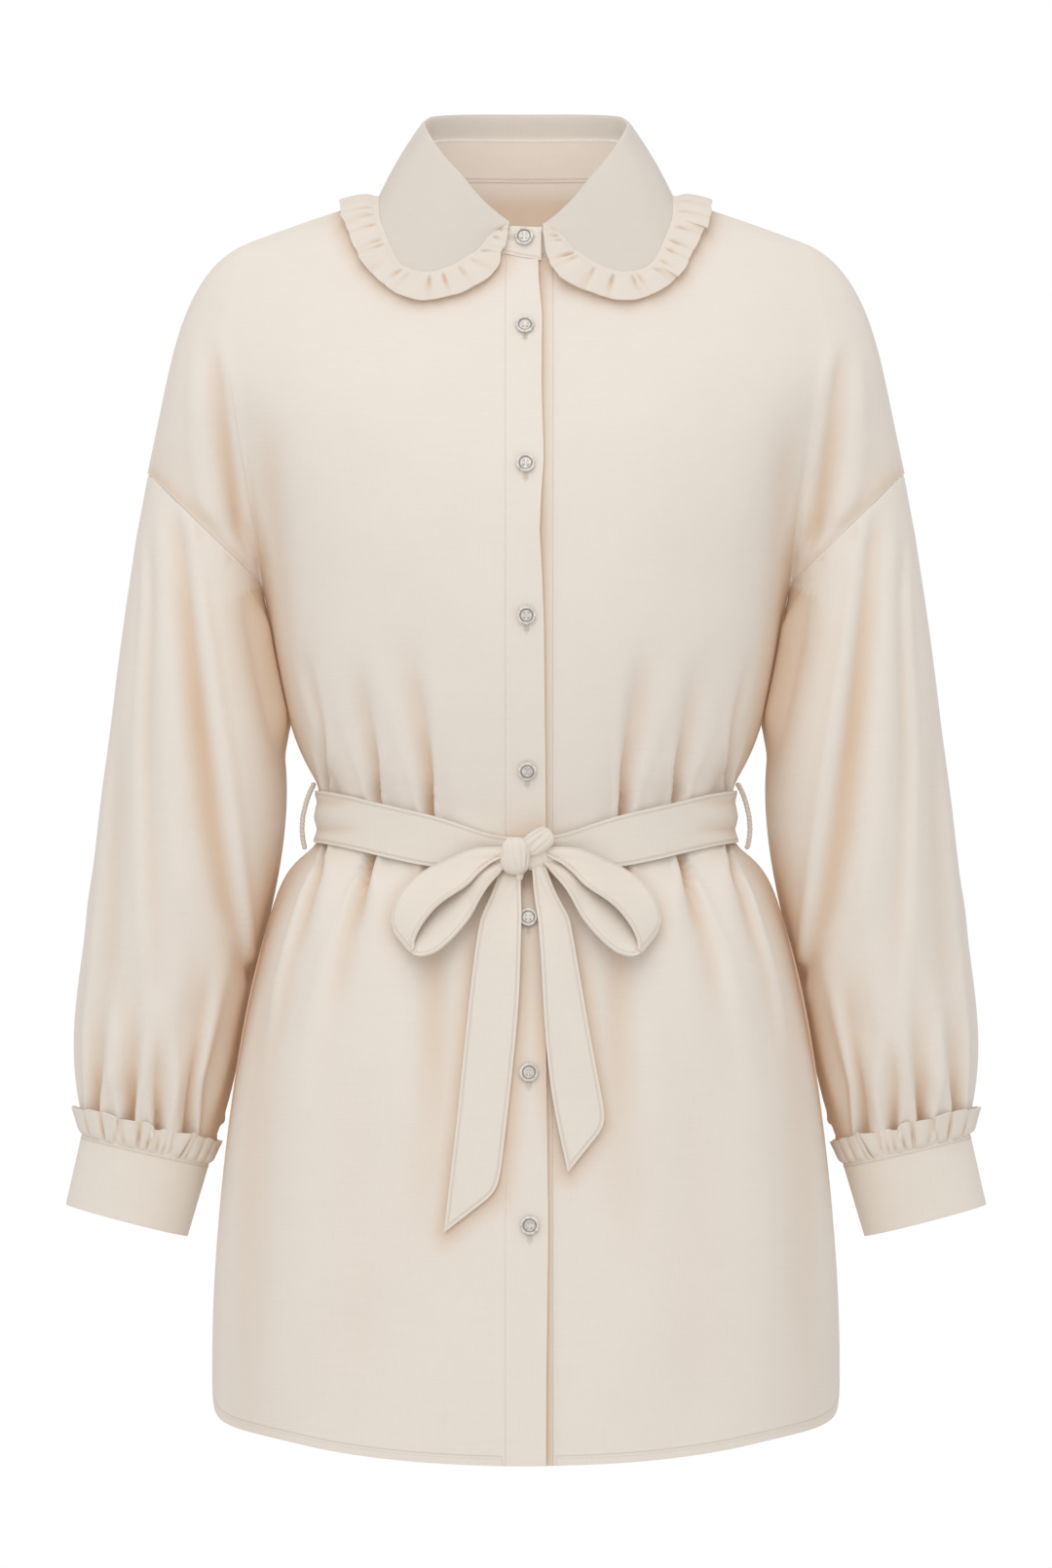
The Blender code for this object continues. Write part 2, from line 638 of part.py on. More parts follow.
def sleeve_surface(u, share, rippled=1):
    """The sleeve's outer face, from the cuff at 0 to the armhole at 1."""
    gathers = ease(*GATHERS_START, share) * (1 - ease(*GATHERS_END, share))
    ripple = rippled * SLEEVE_GATHER_DEPTH * gathers * math.cos(2 * math.pi * u * SLEEVE_GATHERS)
    ring = sleeve_at(share)
    point = ring_point(ring, u, ripple)
    angle = 2 * math.pi * u
    out = (1 - math.cos(angle)) / 2
    face = FRONT if math.sin(angle) > 0 else BACK
    seam_across = blend(crease_at(UNDERARM_DROP).across, shoulder_at(ARMHOLE_TOP_DROP).reach, out)
    seam_drop = blend(UNDERARM_DROP, ARMHOLE_TOP_DROP, out)
    taken = ease(ARMHOLE_BLEND, 1, share)
    point.y = blend(point.y, chest_y(seam_across, seam_drop, face), taken)
    point += SLEEVE_WAYS * GAP * taken
    row = body_at(-point.z)
    depth = row.front if point.y < MIDDLE_Y else row.back
    body_x = row.half_width * math.sqrt(max(0, 1 - ((point.y - MIDDLE_Y) / depth) ** 2))
    below = -point.z - UNDERARM_DROP
    if below > CLEARANCE_REACH[0]:
        point.x = max(point.x, body_x + SLEEVE_CLEARANCE * ease(0, CLEARANCE_REACH[1], below))
    return point


def cuff_surface(u, v):
    values = (blend(low, high, v) for low, high in zip(CUFF_BOTTOM, CUFF_TOP))
    return ring_point(Ring(*values), u)


def cuff_frill_surface(u, v):
    wave = FRILL_WAVE * v * math.sin(2 * math.pi * u * CUFF_FRILL_WAVES)
    clear = WALL + GAP + (FRILL_WAVE + CUFF_FRILL_LEAN) * v
    share = CUFF_FRILL_SHARE * v
    flat = sleeve_surface(u, share, 0)
    return flat + (ring_point(sleeve_at(share), u, 1) - ring_point(sleeve_at(share), u)) * (clear + wave)


def make_sleeves():
    round_sleeve = even(SLEEVE_SEGMENTS)
    shares = [ring.share for ring in SLEEVE]
    round_frill = even(CUFF_FRILL_WAVES * FRILL_STEPS)
    for side, name in ((RIGHT, "right"), (LEFT, "left")):
        make_wall("sleeve_" + name, [grid_on(sleeve_surface, round_sleeve, shares, 1, side, SLEEVE_WAYS)], WALL)
        make_wall("cuff_" + name, [grid_on(cuff_surface, round_sleeve, (0, 1), 1, side)], BAND_WALL)
        make_wall("cuff_frill_" + name, [grid_on(cuff_frill_surface, round_frill, (0, 1), 1, side)], WALL)


def neck_point(turn, inset=0):
    """A point of the neckline. Turns run from the centre front by the wearer's right to 360, the front again."""
    side = RIGHT if turn <= 180 else LEFT
    half = turn if turn <= 180 else 360 - turn
    across, drop = neck_edge(half)
    face = FRONT if half < 90 else BACK
    lap = (LAP_DEPTH + STAND_TUCK) * ease(*STAND_LAP, turn)
    return chest_point(side, across, drop, face, inset + lap)


def neck_out(turn):
    """The level direction away from the neck."""
    along = neck_point(turn + 1) - neck_point(turn - 1)
    return Vector((-along.y, along.x, 0)).normalized()


def stand_turns():
    """The turns of the neckline's own corners, so that the stand follows it."""

    def turn_at(across):
        return math.degrees(math.asin(across / NECK_HALF_WIDTH))

    right_edge, left_edge = turn_at(PLACKET_SEAM + GAP), turn_at(BAND_SEAM + GAP)
    right = [blend(right_edge, 90, i / FRONT_NECK_COLUMNS) for i in range(1, FRONT_NECK_COLUMNS + 1)]
    back = [blend(90, 270, i / BACK_NECK_COLUMNS / 2) for i in range(1, 2 * BACK_NECK_COLUMNS)]
    left = [360 - blend(left_edge, 90, i / FRONT_NECK_COLUMNS) for i in range(FRONT_NECK_COLUMNS, 0, -1)]
    first = [turn_at(PLACKET_EDGE_TOP), turn_at((PLACKET_EDGE_TOP + PLACKET_SEAM) / 2), right_edge]
    last = [360 - left_edge, 360 - turn_at((BAND_SEAM + BAND_EDGE) / 2), 360 - turn_at(BAND_EDGE)]
    return first + right + back + left + last


STAND_TURNS = stand_turns()


def stand_point(turn, v, inset=0):
    """A point of the collar stand, from the neckline at v 0 to its top at 1, straight between its corners."""
    i = min(max(bisect_right(STAND_TURNS, turn) - 1, 0), len(STAND_TURNS) - 2)
    low, high = STAND_TURNS[i : i + 2]
    ends = [neck_point(end) - neck_out(end) * (STAND_LEAN * v + inset) for end in (low, high)]
    return ends[0].lerp(ends[1], (turn - low) / (high - low)) + Vector((0, 0, GAP + STAND_RISE * v))


def collar_row(length):
    """(the collar's table at a length along its edge, side, face)"""
    side = RIGHT if length <= HALF_LENGTH else LEFT
    half = min(length, 2 * HALF_LENGTH - length)
    return collar_at(half), side, FRONT if half < SHOULDER_LENGTH else BACK


def collar_edge(length, frill_share=0, lift=0):
    """A point of the collar's edge, or of its frill, above the cloth under it."""
    row, side, face = collar_row(length)
    across = blend(row.edge_across, row.frill_across, frill_share)
    drop = blend(row.edge_drop, row.frill_drop, frill_share)
    turn = math.degrees(math.asin(min(1, across / NECK_HALF_WIDTH)))
    rise = neck_edge(turn)[1] - drop
    if face == BACK or rise < 0:
        return chest_point(side, across, drop, face, -lift)
    on_stand = stand_point(turn, min(1, rise / STAND_RISE), -lift)
    return Vector((side * across, on_stand.y, -drop))


def fall_surface(u, v):
    """The collar's face: v 0 at the stand's top, up inside the neck, over the roll and down to the edge at 1."""
    length = 2 * HALF_LENGTH * u
    row, side, _ = collar_row(length)
    turn = row.turn if side == RIGHT else 360 - row.turn
    seam = stand_point(turn, 1, BAND_WALL) + Vector((0, 0, FALL_SEAM_GAP))
    out, up = neck_out(turn), Vector((0, 0, 1))
    crown = seam + out * ROLL_RADIUS + up * (row.roll_height - ROLL_RADIUS)
    if v <= ROLL_START:
        return seam.lerp(crown - out * ROLL_RADIUS, v / ROLL_START)
    if v <= ROLL_END:
        angle = math.pi * (v - ROLL_START) / (ROLL_END - ROLL_START)
        return crown - out * ROLL_RADIUS * math.cos(angle) + up * ROLL_RADIUS * math.sin(angle)
    share = (v - ROLL_END) / (1 - ROLL_END)
    start, end = crown + out * ROLL_RADIUS, collar_edge(length, 0, FALL_LIFT)
    middle = (start + end) / 2 + (out + up) * FALL_BELLY
    return start * (1 - share) ** 2 + middle * 2 * share * (1 - share) + end * share * share


def frill_surface(u, v):
    length = 2 * HALF_LENGTH * u
    wave = FRILL_WAVE * v * math.sin(2 * math.pi * u * COLLAR_FRILL_WAVES)
    clear = FALL_LIFT + (FRILL_WAVE - FRILL_TUCK) * v
    return collar_edge(length, blend(FRILL_START, 1, v), clear + wave)


def make_collar():
    def stand(column, row, inset):
        return stand_point(STAND_TURNS[column], row / STAND_ROWS, inset)

    make_wall("collar_stand", [(len(STAND_TURNS) - 1, STAND_ROWS, stand)], BAND_WALL)
    rows = (0, ROLL_START, (ROLL_START + ROLL_END) / 2, *even(4, ROLL_END, 1))
    make_wall("collar_fall", [grid_on(fall_surface, even(COLLAR_COLUMNS), rows, 1)], FALL_WALL)
    columns = even(COLLAR_FRILL_WAVES * FRILL_STEPS)
    make_wall("collar_frill", [grid_on(frill_surface, columns, even(2), 1)], WALL)


def front_y(x, drop):
    """The y of the front's outer face at a place seen from the front."""
    if drop <= UNDERARM_DROP:
        return chest_y(abs(x), drop, FRONT)
    low, high = drop - FRONT_ROW_SEARCH, drop + FRONT_ROW_SEARCH
    for _ in range(FRONT_ROW_STEPS):
        row = (low + high) / 2
        turn = math.degrees(math.asin(min(1, abs(x) / body_at(row).half_width)))
        if body_drop(turn, row, FRONT) < drop:
            low = row
        else:
            high = row
    return body_point(RIGHT, turn, row, FRONT).y


def on_front(x, drop, out):
    """A point in front of the cloth, out from it."""
    return Vector((x, front_y(x, drop) - out, -drop))


def make_buttons():
    profile = bpy.data.meshes.new("button")
    mesh = bmesh.new()
    corners = [mesh.verts.new((x * MM, 0, z * MM)) for x, z in BUTTON_PROFILE]
    for pair in zip(corners, corners[1:]):
        mesh.edges.new(pair)
    mesh.to_mesh(profile)
    mesh.free()
    profile.materials.append(material_of("button"))
    stand_turn = -math.degrees(math.asin(STAND_BUTTON_X / NECK_HALF_WIDTH))
    seats = [(stand_point(stand_turn, 0.5), neck_out(stand_turn) * STAND_RISE + Vector((0, 0, STAND_LEAN)))]
    for drop in BUTTON_DROPS:
        x = blend(BUTTON_X_TOP, BUTTON_X_HEM, (drop - NECK_FRONT_DROP) / (HEM_DROP - NECK_FRONT_DROP))
        slope = front_y(x, drop - 1) - front_y(x, drop + 1)
        seats.append((on_front(x, drop, 0), Vector((0, -2, slope))))
    for i, (seat, out) in enumerate(seats, 1):
        button = bpy.data.objects.new(f"button_{i}", profile)
        screw = button.modifiers.new("turn", "SCREW")
        screw.steps = screw.render_steps = BUTTON_STEPS
        screw.use_merge_vertices = True
        screw.merge_threshold = 0.00001
        button.location = (seat + out.normalized() * BUTTON_SEAT) * MM
        button.rotation_euler = out.to_track_quat("Z", "Y").to_euler()
        garment.objects.link(button)


def belt_surface(u, v):
    angle = 360 * (u % 1)
    side = RIGHT if angle <= 180 else LEFT
    half = angle if angle <= 180 else 360 - angle
    face, turn = (FRONT, half) if half <= 90 else (BACK, 180 - half)
    narrow = ease(*BELT_NARROWS, half)
    reach = blend(BELT_KNOT_HALF_WIDTH, BELT_HALF_WIDTH, narrow)
    return body_point(side, turn, WAIST_DROP + reach * (1 - 2 * v), face, -(BELT_WALL + GAP), 0)


def make_belt():
    make_wall("belt_band", [grid_on(belt_surface, even(BELT_COLUMNS), even(2), 1)], BELT_WALL)


def make_knot():
    mesh = bmesh.new()
    bmesh.ops.create_uvsphere(mesh, u_segments=16, v_segments=9, radius=1)
    x, drop = KNOT_CENTRE
    tilt = math.radians(KNOT_TILT)
    centre = on_front(x, drop, BELT_WALL + KNOT_SEAT + KNOT_RADII[1])
    for vert in mesh.verts:
        square = [math.copysign(abs(part) ** KNOT_SQUARENESS, part) for part in vert.co]
        groove = 1 - KNOT_GROOVE * bell(square[0] * math.sin(tilt) + square[2] * math.cos(tilt), 0.25)
        point = Vector([part * radius for part, radius in zip(square, KNOT_RADII)]) * groove
        point.z = point.z * (1 - KNOT_SKEW) + point.x * KNOT_SKEW
        vert.co = (centre + point) * MM
    make_object("belt_knot", mesh, "cloth")


def loop_surface(u, v):
    """A bow loop on the wearer's left, from its near edge at v 0: out from the knot, round its tip and back."""
    row = loop_at(u)
    x, drop = row.across + row.wide_across * v, row.drop + row.wide_drop * v
    return on_front(x, drop, row.out + row.wide_out * v)


def tail_surface(rows):
    row_at = smooth_table(rows)

    def surface(u, v):
        row = row_at(v)
        x, drop = blend(row.left_x, row.right_x, u), blend(row.left_drop, row.right_drop, u)
        return on_front(x, drop, row.out)

    return surface


def make_bow():
    for side, name in ((RIGHT, "right"), (LEFT, "left")):
        make_wall("bow_loop_" + name, [grid_on(loop_surface, even(LOOP_COLUMNS), even(2), 1, side)], STRIP_WALL)
        surface = tail_surface(TAILS[side])
        make_wall("belt_tail_" + name, [grid_on(surface, even(TAIL_COLUMNS), even(TAIL_ROWS), -1)], STRIP_WALL)


def make_carriers():
    for side, name in ((RIGHT, "right"), (LEFT, "left")):
        data = bpy.data.curves.new("belt_carrier_" + name, "CURVE")
        data.dimensions = "3D"
        data.bevel_depth = CARRIER_RADIUS * MM
        data.bevel_resolution = 2
        data.use_fill_caps = True
        thread = data.splines.new("POLY")
        thread.points.add(len(CARRIER) - 1)
        for point, (across, drop) in zip(thread.points, CARRIER):
            point.co = (side * across * MM, MIDDLE_Y * MM, -drop * MM, 1)
        data.materials.append(material_of("cloth"))
        garment.objects.link(bpy.data.objects.new("belt_carrier_" + name, data))


def start_scene():
    for old in list(bpy.data.objects):
        bpy.data.objects.remove(old)
    made = bpy.data.collections.new("tunic_top")
    bpy.context.scene.collection.children.link(made)
    return made


collar_at = smooth_table(COLLAR)
loop_at = smooth_table(LOOP)
garment = start_scene()
make_fronts()
make_back()
make_front_bands()
make_sleeves()
make_collar()
make_buttons()
make_belt()
make_knot()
make_bow()
make_carriers()
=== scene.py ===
# %% [markdown]
# # A tunic top in cream cloth
# The imported model gives every cut piece as a plain thin wall, in its right place. This script dresses it: each wall's
# outer face is taken as a coarse cage, smoothed, creased and given its cloth thickness again, and the frills,
# knot, buttons and stitches are modelled on top. Everything is in metres, X runs to the wearer's left, -Y to the
# front and +Z up. A drop is a depth below the origin, in millimetres.

# %% The imported model
import math
from collections import namedtuple

import bmesh
import bpy
import numpy as np
from mathutils import Matrix, Vector
from mathutils.bvhtree import BVHTree
from mathutils.kdtree import KDTree


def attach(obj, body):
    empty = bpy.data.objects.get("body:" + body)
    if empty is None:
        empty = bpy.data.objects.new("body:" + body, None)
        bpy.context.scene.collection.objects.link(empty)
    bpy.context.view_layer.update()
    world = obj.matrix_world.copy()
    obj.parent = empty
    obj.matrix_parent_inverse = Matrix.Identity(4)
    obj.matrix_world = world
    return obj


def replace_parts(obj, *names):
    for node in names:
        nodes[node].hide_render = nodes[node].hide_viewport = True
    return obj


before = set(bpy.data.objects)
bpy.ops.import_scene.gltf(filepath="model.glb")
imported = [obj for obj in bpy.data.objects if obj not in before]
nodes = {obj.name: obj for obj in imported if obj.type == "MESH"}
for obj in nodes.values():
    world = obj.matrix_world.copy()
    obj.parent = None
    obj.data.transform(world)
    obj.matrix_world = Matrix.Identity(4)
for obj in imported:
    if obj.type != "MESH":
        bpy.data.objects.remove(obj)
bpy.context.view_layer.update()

MM = 0.001
print(len(nodes), "cut pieces")

# %% [markdown]
# ## Short helpers
# These make objects, materials and nodes, and the search trees that find the nearest place on other pieces.

# %% Helpers
def new_object(name, data):
    made = bpy.data.objects.new(name, data)
    bpy.context.scene.collection.objects.link(made)
    return made


def mesh_data(name, mesh):
    data = bpy.data.meshes.new(name)
    mesh.to_mesh(data)
    mesh.free()
    return data


def bmesh_of(*meshes):
    made = bmesh.new()
    for data in meshes:
        made.from_mesh(data)
    return made


def search_tree(*meshes):
    """One search tree over the faces of several meshes."""
    mesh = bmesh_of(*meshes)
    tree = BVHTree.FromBMesh(mesh)
    mesh.free()
    return tree


def tree_of(*names):
    """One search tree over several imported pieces."""
    return search_tree(*(nodes[name].data for name in names))


def point_tree(points):
    tree = KDTree(len(points))
    for i, point in enumerate(points):
        tree.insert(point, i)
    tree.balance()
    return tree


def fill(made, inputs):
    """Sets a shader node's inputs to values, or links them to other sockets."""
    for key, value in dict(inputs).items():
        if isinstance(value, bpy.types.NodeSocket):
            made.id_data.links.new(value, made.inputs[key])
        else:
            made.inputs[key].default_value = value
    return made


def node(tree, kind, inputs=(), **settings):
    """A node with its settings and its inputs."""
    made = tree.nodes.new(kind)
    for key, value in settings.items():
        setattr(made, key, value)
    return fill(made, inputs)


def math_node(tree, operation, *values):
    return node(tree, "ShaderNodeMath", dict(enumerate(values)), operation=operation).outputs[0]


def mixed(tree, share, first, second):
    """The first colour, moved towards the second."""
    return node(tree, "ShaderNodeMix", {"Factor": share, 6: first, 7: second}, data_type="RGBA").outputs[2]


def noise(tree, place, scale, detail, **more):
    values = {"Vector": place, "Scale": scale, "Detail": detail, **more}
    return node(tree, "ShaderNodeTexNoise", values).outputs["Fac"]


def bump(tree, height, distance, **more):
    values = {"Height": height, "Distance": distance, **more}
    return node(tree, "ShaderNodeBump", values).outputs["Normal"]


def object_place(tree):
    return node(tree, "ShaderNodeTexCoord").outputs["Object"]


def new_material(name):
    """A material with its node tree and its shader."""
    made = bpy.data.materials.new(name)
    made.use_nodes = True
    return made, made.node_tree, made.node_tree.nodes["Principled BSDF"]


def shown(name, data, material, sharp=None):
    """A visible piece on the one body. Edges sharper than an angle stay sharp, and the rest are shaded smooth."""
    if sharp is not None:
        data.shade_smooth()
        data.set_sharp_from_angle(angle=math.radians(sharp))
    data.materials.clear()
    data.materials.append(material)
    made = new_object(name, data)
    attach(made, "root")
    return made


# %% [markdown]
# ## The camera
# A garment is pictured from far away with a long lens, so that it looks flat and true. The camera stands six metres
# in front, level with the garment's middle, and the lens is chosen so that the frame takes in 966 mm of height there.

# %% Camera
VIEW_HEIGHT = 966 * MM
VIEW_MIDDLE = -363 * MM
CAMERA_DISTANCE = 6.0
SENSOR = 36

lens = bpy.data.cameras.new("camera")
lens.sensor_width = SENSOR
lens.lens = SENSOR * CAMERA_DISTANCE / VIEW_HEIGHT
lens.clip_end = 50
camera = new_object("camera", lens)
camera.location = (0, -CAMERA_DISTANCE, VIEW_MIDDLE)
camera.rotation_euler = (math.pi / 2, 0, 0)
bpy.context.scene.camera = camera
print("lens of", round(lens.lens), "mm")

# %% [markdown]
# ## Light and floor
# Cream cloth shows its folds best in soft light that comes from everywhere and a little more from above and in
# front. The white world gives the first, and two wide lamps give the second. The floor is a plain pale sheet well
# below the hem.

# %% Light and floor
WORLD_LIGHT = 0.72  # what the world gives to the cloth, next to the white that the camera sees
FLOOR_DROP, FLOOR_SIZE, FLOOR_COLOUR = 1450 * MM, 5.0, (0.86, 0.85, 0.84, 1)
Lamp = namedtuple("Lamp", "name place size power")
LAMPS = (
    Lamp("front", (-0.5, -3.6, 1.6), 2.6, 29.5),
    Lamp("top", (-0.2, -1.4, 2.6), 2.4, 16),
)


def make_world():
    world = bpy.data.worlds.new("studio")
    world.use_nodes = True
    tree = world.node_tree
    seen = node(tree, "ShaderNodeLightPath").outputs["Is Camera Ray"]
    strength = node(tree, "ShaderNodeMapRange", {"Value": seen, "To Min": WORLD_LIGHT, "To Max": 1.0})
    fill(tree.nodes["Background"], {"Color": (1, 1, 1, 1), "Strength": strength.outputs["Result"]})
    bpy.context.scene.world = world


def make_lamp(lamp, target):
    data = bpy.data.lights.new(lamp.name, "AREA")
    data.size = lamp.size
    data.energy = lamp.power
    made = new_object("lamp_" + lamp.name, data)
    made.location = lamp.place
    made.rotation_euler = (target - Vector(lamp.place)).to_track_quat("-Z", "Y").to_euler()


def make_floor():
    mesh = bmesh.new()
    bmesh.ops.create_grid(mesh, x_segments=1, y_segments=1, size=FLOOR_SIZE / 2)
    bmesh.ops.translate(mesh, verts=mesh.verts, vec=(0, 0, -FLOOR_DROP))
    data = mesh_data("floor", mesh)
    finish, _, shader = new_material("floor")
    fill(shader, {"Base Color": FLOOR_COLOUR, "Roughness": 0.9})
    data.materials.append(finish)
    new_object("floor", data)


make_world()
for lamp in LAMPS:
    make_lamp(lamp, Vector((0, 0, VIEW_MIDDLE)))
make_floor()
bpy.context.scene.view_settings.view_transform = "Standard"
print(len(LAMPS), "lamps and a floor")

# %% [markdown]
# ## The woven cloth
# The cloth is a fine plain weave of cream yarn with a faint slub, so long thin streaks run up and across it, over a
# slow mottle. A node group holds the effect, because every cloth piece uses it: it puts out the colour and a height
# for the bump. Deep folds in cream cloth look warm, because light bounces in them many times, so the colour also
# moves towards a peach tone where the piece's own fold attribute says so.

# %% Woven cloth group
CREAM = (0.85, 0.775, 0.695, 1)
SHADED_DOUBLE_CREAM = (0.835, 0.762, 0.678, 1)  # painted shade: a darker copy of the cream, for the doubled belt and cuffs and the cuff frills
# painted shade: the collar and its frill take darker copies of the cream
SHADED_COLLAR_CREAM = (0.735, 0.668, 0.596, 1)
SHADED_FRILL_CREAM = (0.80, 0.724, 0.642, 1)
PEACH = (0.60, 0.395, 0.235, 1)
SLUB_SCALE = (1500, 1500, 34)  # streaks to a metre across and along the yarn
MOTTLE_SCALE, MOTTLE_TONE = 22, 0.045
WEAVE_PITCH = 0.00085  # two yarns


def new_group(name, inputs, outputs):
    group = bpy.data.node_groups.new(name, "ShaderNodeTree")
    for socket, kind, value in inputs:
        made = group.interface.new_socket(socket, in_out="INPUT", socket_type=kind)
        if value is not None:
            made.default_value = value
    for socket, kind in outputs:
        group.interface.new_socket(socket, in_out="OUTPUT", socket_type=kind)
    return group, group.nodes.new("NodeGroupInput"), group.nodes.new("NodeGroupOutput")


def streaks(tree, place, scale):
    """Noise drawn out along one axis, from 0 to 1."""
    drawn = node(tree, "ShaderNodeVectorMath", {0: place, 1: scale}, operation="MULTIPLY")
    return noise(tree, drawn.outputs[0], 1.0, 2.0)


def make_weave_group():
    inputs = (
        ("Colour", "NodeSocketColor", CREAM),
        ("Fold Colour", "NodeSocketColor", PEACH),
        ("Fold", "NodeSocketFloat", 0.0),
        ("Turn", "NodeSocketVector", (0, 0, 0)),
        ("Slub", "NodeSocketFloat", 0.05),
    )
    outputs = (("Colour", "NodeSocketColor"), ("Height", "NodeSocketFloat"))
    tree, entry, exit_ = new_group("woven cloth", inputs, outputs)
    turned = {"Vector": object_place(tree), "Rotation": entry.outputs["Turn"]}
    place = node(tree, "ShaderNodeMapping", turned).outputs[0]
    warp = streaks(tree, place, SLUB_SCALE)
    weft = streaks(tree, place, (SLUB_SCALE[2], SLUB_SCALE[2], SLUB_SCALE[0]))
    mottle = noise(tree, place, MOTTLE_SCALE, 3.0)
    slubs = math_node(tree, "SUBTRACT", math_node(tree, "ADD", warp, weft), 1.0)
    tone = math_node(tree, "MULTIPLY_ADD", slubs, entry.outputs["Slub"], 1.0)
    tone = math_node(tree, "MULTIPLY_ADD", math_node(tree, "SUBTRACT", mottle, 0.5), MOTTLE_TONE, tone)
    folded = mixed(tree, *(entry.outputs[word] for word in ("Fold", "Colour", "Fold Colour")))
    shaded = node(tree, "ShaderNodeVectorMath", {0: folded, 3: tone}, operation="SCALE")
    tree.links.new(shaded.outputs[0], exit_.inputs["Colour"])
    axes = node(tree, "ShaderNodeSeparateXYZ", {0: place})
    pitch = 2 * math.pi / WEAVE_PITCH
    round_yarn = math_node(tree, "ADD", axes.outputs["X"], axes.outputs["Y"])
    across = math_node(tree, "SINE", math_node(tree, "MULTIPLY", round_yarn, pitch))
    along = math_node(tree, "SINE", math_node(tree, "MULTIPLY", axes.outputs["Z"], pitch))
    weave = math_node(tree, "MULTIPLY", across, along)
    height = math_node(tree, "MULTIPLY_ADD", weave, 0.35, math_node(tree, "MULTIPLY", slubs, 1.2))
    tree.links.new(height, exit_.inputs["Height"])
    return tree


weave_group = make_weave_group()
print("a node group for the weave")

# %% [markdown]
# ## Turned edges and stitch lines
# Every edge of a sewn piece is turned in, so it rolls off softly, and a row of topstitching pulls the plies together
# into a narrow channel. Both follow the piece's edge, so each piece keeps its distance from that edge, in
# millimetres, as an attribute, and a second group turns it into a height and a faint shade.

# %% Edge group
def make_edge_group():
    inputs = (
        ("Distance", "NodeSocketFloat", 99.0),
        ("Seam", "NodeSocketFloat", 99.0),
        ("Stitch At", "NodeSocketFloat", 5.0),
        ("Width", "NodeSocketFloat", 0.55),
    )
    outputs = (("Shade", "NodeSocketFloat"), ("Height", "NodeSocketFloat"))
    tree, entry, exit_ = new_group("turned edge", inputs, outputs)
    off = math_node(tree, "SUBTRACT", entry.outputs["Distance"], entry.outputs["Stitch At"])
    off = math_node(tree, "DIVIDE", off, entry.outputs["Width"])
    channel = math_node(tree, "EXPONENT", math_node(tree, "MULTIPLY", math_node(tree, "MULTIPLY", off, off), -1.0))
    roll = math_node(tree, "EXPONENT", math_node(tree, "MULTIPLY", entry.outputs["Seam"], -1.3))
    both = math_node(tree, "ADD", channel, math_node(tree, "MULTIPLY", roll, 0.4))
    tree.links.new(math_node(tree, "MULTIPLY", both, -1.0), exit_.inputs["Height"])
    tree.links.new(math_node(tree, "MULTIPLY", channel, 0.13), exit_.inputs["Shade"])
    return tree


edge_group = make_edge_group()
print("a node group for turned edges")

# %% [markdown]
# ## The cloth's material
# One function makes each cloth material from the two groups. The sheen is the short fuzz on spun yarn: it lightens
# the cloth where it turns away. Pieces that lie at a slant turn the weave with them. Thin cream cloth also lets
# daylight through, so its inner side and its deep folds are never grey: a faint warm glow stands for that light.

# %% Cloth materials
WEAVE_BUMP, EDGE_BUMP = 0.00004, 0.0003
INNER_GLOW = (0.094, 0.086, 0.078)  # what comes through the cloth, before it bounces about inside
FOLD_GLOW = (0.075, 0.047, 0.026)


def cloth_material(name, colour=CREAM, turn=0.0, stitch_at=5.0, slub=0.05):
    made, tree, shader = new_material(name)
    fold, edge, seam, inside = (
        node(tree, "ShaderNodeAttribute", attribute_name=word).outputs["Fac"]
        for word in ("fold", "edge", "seam", "inside")
    )
    dyed = {"Colour": colour, "Fold Colour": PEACH, "Fold": fold, "Turn": (0, turn, 0), "Slub": slub}
    sewn = {"Distance": edge, "Seam": seam, "Stitch At": stitch_at}
    weave = node(tree, "ShaderNodeGroup", dyed, node_tree=weave_group).outputs
    edges = node(tree, "ShaderNodeGroup", sewn, node_tree=edge_group).outputs
    within, deep = (
        node(tree, "ShaderNodeVectorMath", {0: glow, 3: share}, operation="SCALE").outputs[0]
        for glow, share in ((INNER_GLOW, inside), (FOLD_GLOW, fold))
    )
    glow = node(tree, "ShaderNodeVectorMath", {0: within, 1: deep}, operation="ADD")
    fill(shader, {
        "Base Color": mixed(tree, edges["Shade"], weave["Colour"], PEACH),
        "Normal": bump(tree, edges["Height"], EDGE_BUMP, Normal=bump(tree, weave["Height"], WEAVE_BUMP)),
        "Emission Color": glow.outputs[0],
        "Emission Strength": 1.0,
        "Roughness": 0.82,
        "Specular IOR Level": 0.28,
        "Sheen Weight": 0.12,
        "Sheen Roughness": 0.45,
    })
    return made


SLEEVE_TILT = math.radians(9)
body_cloth = cloth_material("body_cloth", stitch_at=5.6)
band_cloth = cloth_material("band_cloth", stitch_at=1.2)
right_sleeve_cloth = cloth_material("sleeve_cloth_right", turn=-SLEEVE_TILT)
left_sleeve_cloth = cloth_material("sleeve_cloth_left", turn=SLEEVE_TILT)
collar_cloth = cloth_material("collar_cloth", SHADED_COLLAR_CREAM, stitch_at=-20)
frill_cloth = cloth_material("frill_cloth", SHADED_DOUBLE_CREAM, stitch_at=-20)
collar_frill_cloth = cloth_material("collar_frill_cloth", SHADED_FRILL_CREAM, stitch_at=-20)
stand_cloth = cloth_material("stand_cloth", stitch_at=1.8)
belt_cloth = cloth_material("belt_cloth", SHADED_DOUBLE_CREAM, stitch_at=2.0)
cuff_cloth = cloth_material("cuff_cloth", SHADED_DOUBLE_CREAM, stitch_at=1.6)
print("ten cloth materials")

# %% [markdown]
# ## From a wall to a smooth sheet
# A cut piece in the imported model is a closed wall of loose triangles. Its outer face makes a good cage for a finer
# sheet. The wall is parted along its sharp edges, which leaves an outer face, an inner face and the narrow rim
# between them. The outer face is the largest. A strip that lies flat takes the face that looks to the front.

